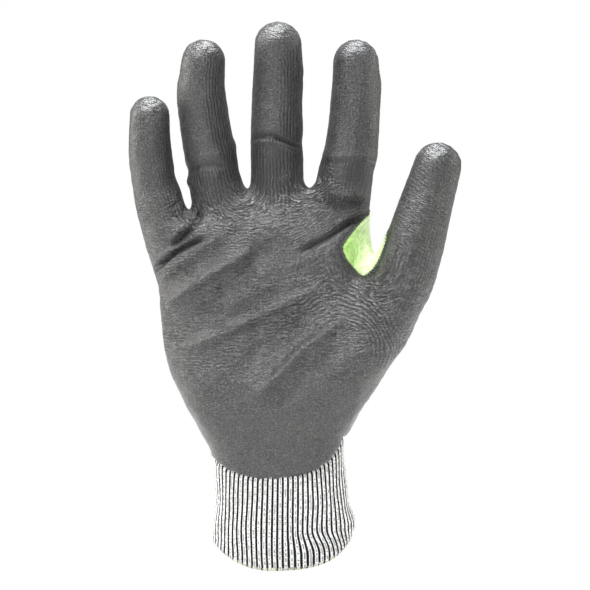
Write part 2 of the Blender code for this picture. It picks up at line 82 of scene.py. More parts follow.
# swellings of the hand inside: x, z, spread x, spread z, height, +1 palm side or -1 back
SWELLINGS = [(24, 98, 15, 21, 4.0, 1), (-36, 84, 13, 26, 2.6, 1), (-7, 114, 19, 19, -3.6, 1),
             (26, 151, 8.5, 8, 2.0, 1), (-2, 157, 9, 8, 1.9, 1), (-27, 151, 9, 8, 1.9, 1), (-47, 139, 8, 8, 1.6, 1),
             (27, 149, 8, 9, 2.4, -1), (-2, 153, 8, 9, 2.6, -1), (-27, 149, 8, 9, 2.4, -1), (-47, 136, 8, 9, 2.2, -1),
             (-13, 150, 3.2, 12, -1.1, -1), (13, 150, 3.2, 12, -1.1, -1), (-37, 144, 3.2, 12, -1.0, -1),
             (0, 100, 24, 26, 1.6, -1)]
# folds (height below zero) and ridges of the palm side: height, width, points (x, z)
CREASES = [
    # the two deep folds at the little finger's base, and the ridge under them
    (-3.4, 1.2, [(-62, 135.5), (-54.5, 140.5), (-46, 146.8), (-39, 150.5), (-33, 152)]),
    (-3.2, 1.6, [(-51, 147.5), (-45.5, 152), (-41, 157), (-38.6, 161), (-38, 166)]),
    (1.2, 1.6, [(-60, 139.5), (-51, 145.0), (-44, 149.2)]),
    # long soft folds that cross the palm
    (-1.8, 3.8, [(-57, 127), (-50, 132), (-37, 141), (-23, 152), (-14, 160)]),
    (2.3, 2.3, [(-56, 118.5), (-50.4, 122.7), (-34.5, 134), (-18.6, 143.2), (-9, 149)]),
    (-2.1, 4.8, [(-42, 112), (-30, 122.7), (-18.6, 134), (-7.3, 147.7), (-3, 155)]),
    (1.6, 2.5, [(-46, 99), (-36.8, 104.5), (-14, 115), (10.9, 126.3), (22, 133)]),
    (-1.2, 4.2, [(-46, 107), (-34, 112), (-12, 121), (8, 133)]),
    (3.2, 2.6, [(-16, 75), (-10.9, 80.9), (1.8, 93.2), (10.9, 102.3), (23.2, 111.4), (30, 117)]),
    (-1.8, 4.6, [(-26, 86), (-14, 96), (-2, 106), (10, 114.5), (22, 122)]),
    (-1.4, 4.2, [(-4, 74), (6, 83), (16, 93), (27, 104)]),
    (0.9, 2.6, [(2, 138.5), (12, 142.5), (20, 145.5), (27, 149)]),
    # the fold over the patch, and the fine line above it
    (-2.6, 1.4, [(8, 145.2), (17, 150.2), (25, 154.8), (32, 159.3), (40, 163.4)]),
    (1.1, 0.8, [(24, 157.4), (31, 162.0), (41, 165.8)]),
    (-1.6, 2.2, [(17, 169), (28, 167.4), (40, 169.5)]),
    (0.9, 1.8, [(21, 172), (30, 171.2), (38, 173)]),
    # middle, ring and index at their lower joints
    (-1.5, 1.1, [(-14.5, 196.6), (-11, 197.6), (-4, 198), (5, 194.4), (11, 193)]),
    (0.9, 1.0, [(-13, 194.4), (-4, 195.6), (5, 192.0), (9, 190.4)]),
    (-1.3, 1.8, [(-43, 182.0), (-36, 184.6), (-24, 185.6)]),
    (0.9, 2.4, [(-44, 178.5), (-40.5, 176.5)]),
    (0.7, 2.6, [(-37, 178.5), (-27, 179.5)]),
    (0.5, 1.6, [(-38, 189), (-26, 189.5)]),
    (-0.5, 1.2, [(18, 185.6), (31, 186.6), (45, 185.2)]),
    (0.45, 1.2, [(18, 188.0), (31, 189.1), (45, 187.8)]),
    (-0.35, 1.6, [(-12, 213.5), (-1, 212.5), (9, 213.6)]),
    (-0.5, 1.4, [(-12, 168.5), (-2, 167.5), (8, 169)]),
    (-0.6, 1.6, [(46, 126), (54, 124.5), (63, 121.5)]),
]
# bulges and dents that also show in the outline: x, z, spread, height
BULGES = [(-21.0, 193.5, 3.6, 0.7), (-18.2, 182, 3.4, -0.4), (-44.0, 182.0, 2.6, -0.7), (-43.0, 176.5, 3.0, 0.5),
          (10.4, 229, 4.0, 0.35), (10.6, 213, 4.5, -0.25), (10.6, 201.5, 3.4, 0.4), (10.4, 194, 3.4, -0.3),
          (44.8, 189, 4.0, 0.25), (43.6, 181, 3.4, -0.3), (45.6, 222, 3.5, 0.3), (-49.0, 180, 3.2, -0.4),
          (-48.2, 172, 3.4, 0.4), (-45.5, 226, 3.4, -0.5)]


def spline(points, per=5):
    """Points on the smooth curve through these ones."""
    p = np.array(points, float)
    q = np.vstack([2 * p[0] - p[1], p, 2 * p[-1] - p[-2]])
    out = []
    for i in range(1, len(q) - 2):
        a, b, c, d = q[i - 1], q[i], q[i + 1], q[i + 2]
        for t in np.arange(per) / per:
            out.append(0.5 * (2 * b + (c - a) * t + (2 * a - 5 * b + 4 * c - d) * t**2 + (3 * b - a - 3 * c + d) * t**3))
    out.append(p[-1])
    return np.array(out)


def smooth(x, low=0.0, high=1.0):
    t = np.clip((x - low) / (high - low), 0, 1)
    return t * t * (3 - 2 * t)


def smin(a, b, k):
    h = np.clip(0.5 + 0.5 * (b - a) / k, 0, 1)
    return b * (1 - h) + a * h - k * h * (1 - h)


FINE = {name: spline(points, 5) for name, points in LINES.items()}
PALM_FINE = spline(PALM, 6)


def chain(p, line):
    """Distance from each point to the tapered round tube along this line."""
    best = np.full(len(p), 1e9)
    for a, b in zip(line[:-1], line[1:]):
        ab = b[:3] - a[:3]
        ap = p - a[:3]
        t = np.clip(ap @ ab / (ab @ ab), 0, 1)
        d = ap - t[:, None] * ab
        d[:, 1] /= DEPTH
        np.minimum(best, np.sqrt((d * d).sum(1)) - (a[3] + t * (b[3] - a[3])), out=best)
    return best


def palm(p):
    x, y, z = p.T
    xl, xr, yf, yb = (np.interp(z, PALM_FINE[:, 0], PALM_FINE[:, i]) for i in (1, 2, 3, 4))
    a, b = (xr - xl) / 2, (yb - yf) / 2
    u, v = np.abs(x - (xl + xr) / 2) / a + 1e-6, np.abs(y - (yf + yb) / 2) / b + 1e-6
    n = PALM_POWER
    rho = (u**n + v**n) ** (1 / n)
    slope = rho ** (1 - n) * np.sqrt((u ** (n - 1) / a) ** 2 + (v ** (n - 1) / b) ** 2)
    d = (rho - 1) / np.maximum(slope, 0.4 / np.maximum(a, b))
    front = smooth(-(y - (yf + yb) / 2), -3, 9)
    for cx, cz, sx, sz, height, side in SWELLINGS:
        there = front if side > 0 else 1 - front
        d = d - height * there * np.exp(-(((x - cx) / sx) ** 2) - ((z - cz) / sz) ** 2)
    top = PALM_TOP + 1.3 * np.exp(-(((x - 13.5) / 7) ** 2)) - 0.4 * np.exp(-(((x + 16.5) / 7) ** 2))
    return -smin(-d, top - z, 5)


def glove(p):
    """Signed distance to the glove's outer form."""
    d = palm(p)
    fingers = np.full(len(p), 60.0)
    for name in ("index", "middle", "ring", "little"):
        line = FINE[name]
        near = ((p > line[:, :3].min(0) - 26) & (p < line[:, :3].max(0) + 26)).all(1)
        fingers[near] = smin(fingers[near], chain(p[near], line), 1.6)
    d = smin(d, fingers, 6.0)
    line = FINE["thumb"]
    near = ((p > line[:, :3].min(0) - 30) & (p < line[:, :3].max(0) + 30)).all(1)
    d[near] = smin(d[near], chain(p[near], line), 12.0)
    return d


# ---------------------------------------------------------------- the surface as a mesh

STEP = 0.9
LOW, HIGH = np.array([-72.0, -36, 39]), np.array([86.0, 27, 252])


def surface():
    """(points, quads) of the glove's skin, open at the wrist."""
    axes = [np.arange(LOW[i], HIGH[i], STEP) for i in range(3)]
    shape = tuple(len(a) for a in axes)
    grid = np.stack(np.meshgrid(*axes, indexing="ij"), -1).reshape(-1, 3)
    volume = np.empty(len(grid))
    for s in range(0, len(grid), 400000):
        volume[s:s + 400000] = glove(grid[s:s + 400000])
    volume = volume.reshape(shape)
    inside = volume < 0
    count = np.zeros(tuple(n - 1 for n in shape), np.int8)
    corners = [(i, j, k) for i in (0, 1) for j in (0, 1) for k in (0, 1)]
    for i, j, k in corners:
        count += inside[i:shape[0] - 1 + i, j:shape[1] - 1 + j, k:shape[2] - 1 + k]
    cells = np.argwhere((count > 0) & (count < 8))
    number = np.full(count.shape, -1, np.int32)
    number[tuple(cells.T)] = np.arange(len(cells))
    values = {c: volume[tuple((cells + c).T)] for c in corners}
    total, hits = np.zeros((len(cells), 3)), np.zeros(len(cells))
    for a in corners:
        for axis in range(3):
            if a[axis]:
                continue
            b = tuple(1 if i == axis else a[i] for i in range(3))
            va, vb = values[a], values[b]
            cross = (va < 0) != (vb < 0)
            t = np.where(cross, va / np.where(cross, va - vb, 1), 0)
            point = np.tile(np.array(a, float), (len(cells), 1))
            point[:, axis] += t
            total[cross] += point[cross]
            hits += cross
    points = LOW + (cells + total / hits[:, None]) * STEP
    quads = []
    for axis in range(3):
        o1, o2 = [i for i in range(3) if i != axis]
        lower = [slice(1, n - 1) for n in shape]
        lower[axis] = slice(0, shape[axis] - 1)
        upper = list(lower)
        upper[axis] = slice(1, shape[axis])
        a, b = inside[tuple(lower)], inside[tuple(upper)]
        where = np.argwhere(a != b) + np.array([s.start for s in lower])
        goes_out = inside[tuple(where.T)]
        e1, e2 = np.eye(3, dtype=int)[o1], np.eye(3, dtype=int)[o2]
        ring = [number[tuple((where - s).T)] for s in (e1 + e2, e2, e1 * 0, e1)]
        quad = np.stack(ring, 1)
        turn = goes_out if axis != 1 else ~goes_out
        quad[~turn] = quad[~turn][:, ::-1]
        quads.append(quad)
    quads = np.vstack(quads).astype(np.int64)
    quads = quads[(quads >= 0).all(1)]
    return points, quads


def normals_of(points, quads):
    a = points[quads[:, 2]] - points[quads[:, 0]]
    b = points[quads[:, 3]] - points[quads[:, 1]]
    face = np.cross(a, b)
    out = np.zeros_like(points)
    for i in range(4):
        for j in range(3):
            out[:, j] += np.bincount(quads[:, i], face[:, j], len(points))
    return out / np.maximum(np.linalg.norm(out, axis=1), 1e-12)[:, None]


def relaxed(points, quads, rounds=5):
    """The points spread evenly along the surface and set exactly on it."""
    edges = np.vstack([quads[:, [i, (i + 1) % 4]] for i in range(4)])
    edges = np.unique(np.sort(edges, 1), axis=0)
    degree = np.bincount(edges.ravel(), minlength=len(points))
    uses = np.bincount(np.searchsorted(edges[:, 0] * np.int64(len(points)) + edges[:, 1],
                                       np.concatenate([np.sort(quads[:, [i, (i + 1) % 4]], 1) @ np.array([np.int64(len(points)), 1]) for i in range(4)])),
                       minlength=len(edges))
    rim = np.zeros(len(points), bool)
    rim[edges[uses == 1].ravel()] = True
    for turn in range(rounds):
        mean = np.zeros_like(points)
        for j in range(3):
            mean[:, j] = (np.bincount(edges[:, 0], points[edges[:, 1], j], len(points))
                          + np.bincount(edges[:, 1], points[edges[:, 0], j], len(points))) / degree
        normal = normals_of(points, quads)
        move = mean - points
        if turn > 0:
            move -= (move * normal).sum(1)[:, None] * normal
        move[rim] = 0
        points = points + 0.6 * move
        if turn in (1, 3, rounds - 1):
            d = glove(points)
            slope = (glove(points + normal * 0.3) - d) / 0.3
            points = points - normal * np.clip(d / np.maximum(slope, 0.35), -0.8, 0.8)[:, None]
    return points


# ---------------------------------------------------------------- what lies where on the skin


def polyline_distance(x, z, line):
    """(distance, signed distance with + to the right going along, share of the way) in the x, z plane."""
    best, sign, share = np.full(len(x), 1e9), np.ones(len(x)), np.zeros(len(x))
    line = np.array(line, float)
    lengths = np.hypot(*np.diff(line, axis=0).T)
    total, done = lengths.sum(), 0.0
    for (ax, az), (bx, bz), length in zip(line[:-1], line[1:], lengths):
        t = np.clip(((x - ax) * (bx - ax) + (z - az) * (bz - az)) / length**2, 0, 1)
        dx, dz = x - ax - t * (bx - ax), z - az - t * (bz - az)
        d = np.hypot(dx, dz)
        side = np.sign((x - ax) * (bz - az) - (z - az) * (bx - ax))
        closer = d < best
        best = np.where(closer, d, best)
        sign = np.where(closer, side, sign)
        share = np.where(closer, (done + t * length) / total, share)
        done += length
    return best, best * sign, share


def wave_noise(p, scale, seed, octaves=3):
    """Smooth noise from a few sines in fixed random directions, about -1 to 1."""
    rng = np.random.default_rng(seed)
    out, gain = np.zeros(len(p)), 1.0
    for _ in range(octaves):
        for _ in range(5):
            k = rng.normal(size=3)
            k *= 2 * math.pi / scale / np.linalg.norm(k) * rng.uniform(0.7, 1.4)
            out += gain * np.sin(p @ k + rng.uniform(0, 6.28)) / 2.6
        scale, gain = scale / 2.1, gain * 0.5
    return out / 1.75


THUMB_LINE = [(27, 60), (30.5, 90), (37.6, 134), (41.0, 146), (46.5, 165)]
DIP = [(-60, 86), (-31.5, 49.5), (-26, 45.6), (-19, 43.2), (-10, 41.4), (-3, 41.4), (5, 42.4), (11.4, 44), (17, 46),
       (21, 48.6), (24, 51.2), (26.5, 54.5), (29.2, 60), (31, 64.5), (36, 78)]
PATCH = [(39.0, 161.4), (36.0, 158.6), (31.9, 153.6), (28.0, 148.3), (29.4, 143), (33.2, 138), (37.2, 134.6), (40.5, 136.6),
         (43.6, 141.2), (46.1, 147), (47.9, 153.5), (48.8, 158.5), (46.5, 161.5), (42.5, 162)]


def wrist_angle(x, y):
    """0 at the middle of the palm side, + towards the thumb, in radians."""
    return np.arctan2((x + 0.9) / 30.6, -(y + 0.5) / 21.5)


def skin_foot(x, y):
    """Height where the skin ends: the dipped edge on the palm side, the knit's end on the back."""
    dip = np.interp(x, [-31.5, -26, -19, -10, -3, 5, 11.4, 17, 21, 24, 26.5, 29.2],
                    [50.0, 46.3, 44.1, 42.4, 42.4, 43.3, 44.7, 46.5, 48.8, 51.3, 54.5, 60])
    dip = dip + 0.28 * np.sin(x * 1.33) + 0.2 * np.sin(x * 2.66 + 1)
    around = np.abs(wrist_angle(x, y))
    right = x > 0
    sides = np.where(right, 63.0, 52.0)
    back = sides + (67.0 - sides) * smooth(around, 1.65, 2.3)
    return dip + (back - dip) * smooth(around, 1.35, 1.75)


def thumb_side(p):
    return polyline_distance(p[:, 0], p[:, 2], THUMB_LINE)[1]


def knit_courses(p):
    """Course coordinate in mm: level rows that curve round the webs and the thumb's crotch."""
    x, y, z = p.T
    c = z.copy()
    for cx, cz, reach in ((-16.5, 176, 13), (12.5, 178, 15), (-41, 164, 9), (41, 141, 21)):
        r = np.hypot(x - cx, z - cz)
        w = np.exp(-((r / reach) ** 2) * 0.8)
        c += w * (cz - r - z)
    return c


def build_skin():
    points, quads = surface()
    points = relaxed(points, quads)
    normal = normals_of(points, quads)
    x, y, z = points.T
    front = smooth(-normal[:, 1], -0.05, 0.45)
    # folds and ridges
    rise = np.zeros(len(points))
    dark = np.zeros(len(points))
    for height, width, line in CREASES:
        d, _, share = polyline_distance(x, z, spline(line, 4))
        ends = smooth(share, 0, 0.22) * smooth(1 - share, 0, 0.22) * 0.85 + 0.15
        bell = np.exp(-((d / width) ** 2)) * ends * front
        rise += height * bell
        if height < -0.6 and width < 2.6:
            dark += min(1.0, -height / 2.0) * (0.75 * np.exp(-((d / (width * 0.5)) ** 2)) + 0.3 * np.exp(-((d / (width * 1.4)) ** 2))) * ends * front
    for cx, cz, spread, height in BULGES:
        rise += height * np.exp(-((x - cx) ** 2 + (z - cz) ** 2) / spread**2)
    # slack of the fabric, larger over the palm than over the fingers
    body = smooth(168 - z, 0, 30)
    rise += (0.22 + 0.35 * body) * wave_noise(points * [1.0, 1.0, 1.25], 26, 3)
    rise += 0.24 * wave_noise(points * [1.0, 1.0, 1.15], 12, 31) * front
    rise += 0.10 * wave_noise(points * [0.8, 1, 1.6], 7, 5) * (1 - smooth(np.abs(z - 60), 0, 16) * 0)
    # puckers in the webs and rows of stretched stitches round them
    courses = knit_courses(points)
    ripple = np.zeros(len(points))
    for cx, cz, reach, gain in ((-16.5, 171, 9, 1.0), (13, 172, 13, 1.1), (-41, 160, 6, 0.4), (38, 124, 15, 0.6)):
        ripple = np.maximum(ripple, gain * np.exp(-(((x - cx) / reach) ** 2) - ((z - cz) / reach) ** 2))
    ripple *= front
    rise += 0.22 * ripple * np.sin(2 * math.pi * courses / 2.1 + 1.6 * wave_noise(points, 9, 11))
    # the coat stands a little proud of the knit and its edge wanders
    coat = 3.0 - (y - 0) + 1.0 * wave_noise(points, 17, 21) + 0.35 * wave_noise(points, 4.5, 22)
    axis_y = np.zeros(len(points))
    near = np.full(len(points), 1e9)
    for name, line in FINE.items():
        for s in line[::2]:
            d = np.linalg.norm(points - s[:3], axis=1) - s[3]
            better = d < near
            near = np.where(better, d, near)
            axis_y = np.where(better, s[1], axis_y)
    on_finger = smooth(near, 2.5, -0.5)
    coat += axis_y * np.maximum(smooth(z, 150, 175), (x > 30) * smooth(thumb_side(points), 0, 12)) * on_finger
    # over each tip the coat closes on the nail side
    for name, line in FINE.items():
        tip, r = line[-1, :3], line[-1, 3]
        along = (points - tip) @ (line[-1, :3] - line[-4, :3]) / np.linalg.norm(line[-1, :3] - line[-4, :3])
        close = np.linalg.norm(points - tip, axis=1) < r * 1.5
        coat += 9 * smooth(along, -3, r * 0.8) * close
    # the patch in the thumb's crotch lies over the coat on the palm side and over the knit behind
    edge_d, _, _ = polyline_distance(x, z, spline(PATCH + [PATCH[0]], 4))
    shape = np.array(spline(PATCH + [PATCH[0]], 4))
    within = np.zeros(len(points), bool)
    for (ax, az), (bx, bz) in zip(shape[:-1], shape[1:]):
        cross = ((az > z) != (bz > z)) & (x < (bx - ax) * (z - az) / np.where(bz == az, 1e-9, bz - az) + ax)
        within ^= cross
    patch = np.where(within, edge_d, -edge_d)
    behind = smooth(y, -6, 6)
    patch += behind * 3.4
    patch = np.where((x > 20) & (x < 56) & (z > 126) & (z < 172), patch, -5.0)
    rise += 0.45 * smooth(coat, -0.6, 0.6) - 0.5
    rise += 0.5 * smooth(patch, -0.5, 0.4) + 0.22 * smooth(patch, 0, 1.5) * wave_noise(points * [1.3, 1, 0.8], 5.2, 31)
    rise += -0.5 * np.exp(-(((patch + 0.9) / 0.8) ** 2)) * front
    # tips: the glove is a little loose there
    tipness = np.zeros(len(points))
    for name, line in FINE.items():
        tip, r = line[-1, :3], line[-1, 3]
        tipness = np.maximum(tipness, smooth((points - tip) @ np.array([0, 0.12, 1.0]), -5, r * 0.75) * (np.linalg.norm(points - tip, axis=1) < r * 1.6))
    rise += 0.22 * tipness * wave_noise(points * [1, 1, 1.6], 5.0, 41)
    points = points + normal * rise[:, None]
    # cut the foot of the skin along its edge and tuck the edge in
    foot = skin_foot(points[:, 0], points[:, 1])
    centre = points[quads].mean(1)
    keep = centre[:, 2] > skin_foot(centre[:, 0], centre[:, 1])
    quads = quads[keep]
    edges = np.vstack([quads[:, [i, (i + 1) % 4]] for i in range(4)])
    keys = np.sort(edges, 1) @ np.array([np.int64(len(points)), 1])
    _, first, uses = np.unique(keys, return_index=True, return_counts=True)
    rim = np.unique(edges[first[uses == 1]])
    rim = rim[points[rim, 2] < 90]
    points[rim, 2] = foot[rim]
    used = np.unique(quads)
    renumber = np.full(len(points), -1)
    renumber[used] = np.arange(len(used))
    pick = lambda a: a[used]
    rim = renumber[rim]
    rim = rim[rim >= 0]
    quads = renumber[quads]
    points = pick(points)
    # slim the last few millimetres towards the ribs so that the dipped edge lies on them
    x, y, z = points.T
    above = z - skin_foot(x, y)
    cx, cy = -0.9, -0.5
    pull = 0.55 * (1 - smooth(above, 0, 2.2))
    out = np.stack([(x - cx) / 31, (y - cy) / 22], 1)
    out /= np.linalg.norm(out, axis=1)[:, None]
    points[:, :2] -= out * (pull * (z < 75))[:, None]
    points[rim, :2] -= out[rim] * 1.2
    fields = {k: pick(v) for k, v in dict(coat=coat, patch=patch, dark=dark, ripple=ripple, tip=tipness, rise=rise,
                                         courses=courses, finger=on_finger).items()}
    return points, quads, fields


# where the knit is stretched and its wales show: height of the lower fold, share on the right half, share below
STRETCHED = {"index": (187, 0.25, 0.8, 0.16), "middle": (197, 0.85, 1.0, 0.24), "ring": (184, 1.0, 0.8, 0.22),
             "little": (172, 0.4, 0.25, 0.12), "thumb": (150, 0.5, 0.35, 0.16)}


def wales(points, fields):
    """Wale coordinates in stitches: palm side, back side."""
    x, y, z = points.T
    pitch = 1.75
    front, back = x / pitch, x / pitch
    strength, deeper = np.full(len(points), 0.1), np.zeros(len(points))
    for name, line in FINE.items():
        dense = line
        d = np.full(len(points), 1e9)
        lateral = np.zeros(len(points))
        depth = np.zeros(len(points))
        axis_x = np.zeros(len(points))
        for a, b in zip(dense[:-1], dense[1:]):
            ab = b[:3] - a[:3]
            t = np.clip((points - a[:3]) @ ab / (ab @ ab), 0, 1)
            off = points - a[:3] - t[:, None] * ab
            dist = np.linalg.norm(off, axis=1) - a[3]
            side = np.array([ab[2], 0, -ab[0]])
            side /= np.linalg.norm(side)
            fwd = np.cross(ab / np.linalg.norm(ab), side)
            closer = dist < d
            d = np.where(closer, dist, d)
            lateral = np.where(closer, off @ side, lateral)
            depth = np.where(closer, off @ fwd, depth)
        fwd_sign = -1.0 if np.cross([0, 0, 1], [1, 0, 0])[1] > 0 else 1.0
        f = depth * fwd_sign  # + towards the palm side
        r = 12.0 if name != "thumb" else 13.0
        root = line[0, 0] if name != "thumb" else 38.0
        w_front = (root + r * np.arctan2(lateral, f)) / pitch
        w_back = (root + r * np.arctan2(lateral, -f)) / pitch
        if name == "thumb":
            on = smooth(d, 3.5, 0.0) * smooth(thumb_side(points), -2, 10) * smooth(z, 92, 112)
        else:
            start = {"index": 160, "middle": 165, "ring": 160, "little": 146}[name]
            on = smooth(d, 3.0, -0.5) * smooth(z, start - 8, start + 12)
        front = front + on * (w_front - front)
        back = back + on * (w_back - back)
        fold, right_gain, low_gain, tone = STRETCHED[name]
        below = smooth(fold + 1 - z, -4, 4)
        mine = 0.12 + np.maximum(right_gain * smooth(lateral, -1, 5), low_gain * below)
        strength = strength + on * (np.minimum(mine, 1) - strength)
        deeper = np.maximum(deeper, on * (tone + 0.34 * below * (name not in ("thumb", "little"))) * smooth(z, fold - 34, fold - 20))
    return front, back, strength, deeper


# ---------------------------------------------------------------- which body each patch of skin follows

JOINTS = {j["name"]: j for j in frame["joints"]}


def joint_at(name):
    return np.array(JOINTS[name]["pos_m"]) * 1000


KNUCKLE_N = np.array([-0.172, 0, 0.985])


def along_finger(name, joint):
    """Unit direction of the finger at that joint."""
    line = FINE[name]
    i = np.argmin(np.linalg.norm(line[:, :3] - joint_at(joint), axis=1))
    i = min(max(i, 2), len(line) - 3)
    d = line[i + 2, :3] - line[i - 2, :3]
    return d / np.linalg.norm(d)


def finger_of(points):
    names = list(FINE)
    best, who = np.full(len(points), 1e9), np.zeros(len(points), int)
    for n, name in enumerate(names):
        d = chain(points, FINE[name])
        if name == "thumb":
            d = np.where(thumb_side(points) > 0, d, 1e6)
        closer = d < best
        best = np.where(closer, d, best)
        who = np.where(closer, n, who)
    return np.array(names)[who]


SPANS = {"index_pip": 12.5, "middle_pip": 12.5, "ring_pip": 12.5, "little_pip": 10, "index_dip": 9, "middle_dip": 9,
         "ring_dip": 9, "little_dip": 7.5, "thumb_mcp": 11, "thumb_ip": 11}


def thumb_reach(z):
    near = smooth(z, 104, 134)
    return 18 + (3 - 18) * near, 12 + (3 - 12) * near


def root_weight(p):
    side = thumb_side(p)
    a, b = thumb_reach(p[:, 2])
    w = smooth((side + a) / (a + b)) * smooth(p[:, 2], 72, 94)
    # the index's own side of the crotch stays with the hand
    lone = (p[:, 2] > 141.5) & (side < 0)
    return np.where(lone, 0.0, w)


def shift(p, finger, joint):
    return (p - joint_at(joint)) @ along_finger(finger, joint)


def skin_weights(points):
    """{piece: (body a, body b, weight at each point)}"""
    out = {"wrist": ("cuff", "hand", smooth(points[:, 2], 37, 70)),
           "palm": ("hand", None, None),
           "knuckles": ("hand", "finger_base", smooth((points - joint_at("knuckles")) @ KNUCKLE_N, -15, 15))}
    for f in ("index", "middle", "ring", "little"):
        s = SPANS[f + "_pip"]
        out[f + "_middle"] = ("finger_base", f + "_middle", smooth(shift(points, f, f + "_pip"), -s, s))
        s = SPANS[f + "_dip"]
        out[f + "_tip"] = (f + "_middle", f + "_tip", smooth(shift(points, f, f + "_dip"), -s, s))
    out["thumb_root"] = ("hand", "thumb_base", root_weight(points))
    side = thumb_side(points)
    _, b = thumb_reach(points[:, 2])
    out["thumb_middle"] = ("thumb_base", "thumb_middle",
                           smooth(shift(points, "thumb", "thumb_mcp"), -11, 11) * smooth(side - b, 0, 8))
    out["thumb_tip"] = ("thumb_middle", "thumb_tip", smooth(shift(points, "thumb", "thumb_ip"), -11, 11))
    return out


def piece_of(c):
    """The piece that each face centre belongs to."""
    who = finger_of(c)
    name = np.full(len(c), "palm", dtype="U16")
    name[c[:, 2] < 71] = "wrist"
    root = (root_weight(c) > 0) & (c[:, 2] > 71)
    name[root] = "thumb_root"
    row = ((c - joint_at("knuckles")) @ KNUCKLE_N > -15.2) & (root_weight(c) <= 0)
    name[row] = "knuckles"
    for f in ("index", "middle", "ring", "little"):
        mine = (who == f) & row
        name[mine & (shift(c, f, f + "_pip") > -SPANS[f + "_pip"] - 0.3)] = f + "_middle"
        name[mine & (shift(c, f, f + "_dip") > -SPANS[f + "_dip"] - 0.3)] = f + "_tip"
    side = thumb_side(c)
    _, b = thumb_reach(c[:, 2])
    mine = (side > b) & (who == "thumb") & (c[:, 2] > 94)
    name[mine & (shift(c, "thumb", "thumb_mcp") > -11.3)] = "thumb_middle"
    name[mine & (shift(c, "thumb", "thumb_ip") > -11.3)] = "thumb_tip"
    return name


# ---------------------------------------------------------------- meshes


def mesh_object(name, points, faces, material, smooth_shade=True):
    mesh = bpy.data.meshes.new(name)
    mesh.vertices.add(len(points))
    mesh.vertices.foreach_set("co", (np.asarray(points, float) * MM).astype(np.float32).ravel())
    faces = np.asarray(faces)
    n = faces.shape[1]
    mesh.loops.add(faces.size)
    mesh.loops.foreach_set("vertex_index", faces.astype(np.int32).ravel())
    mesh.polygons.add(len(faces))
    mesh.polygons.foreach_set("loop_start", np.arange(0, faces.size, n, dtype=np.int32))
    mesh.polygons.foreach_set("loop_total", np.full(len(faces), n, np.int32))
    mesh.update(calc_edges=True)
    mesh.validate()
    mesh.polygons.foreach_set("use_smooth", np.full(len(mesh.polygons), smooth_shade))
    mesh.materials.append(material)
    obj = bpy.data.objects.new(name, mesh)
    bpy.context.scene.collection.objects.link(obj)
    return obj


def set_vector(obj, name, *columns):
    a = obj.data.attributes.new(name, "FLOAT_VECTOR", "POINT")
    a.data.foreach_set("vector", np.stack(columns, 1).astype(np.float32).ravel())


def set_float(obj, name, values):
    a = obj.data.attributes.new(name, "FLOAT", "POINT")
    a.data.foreach_set("value", np.asarray(values, np.float32))


# ---------------------------------------------------------------- materials


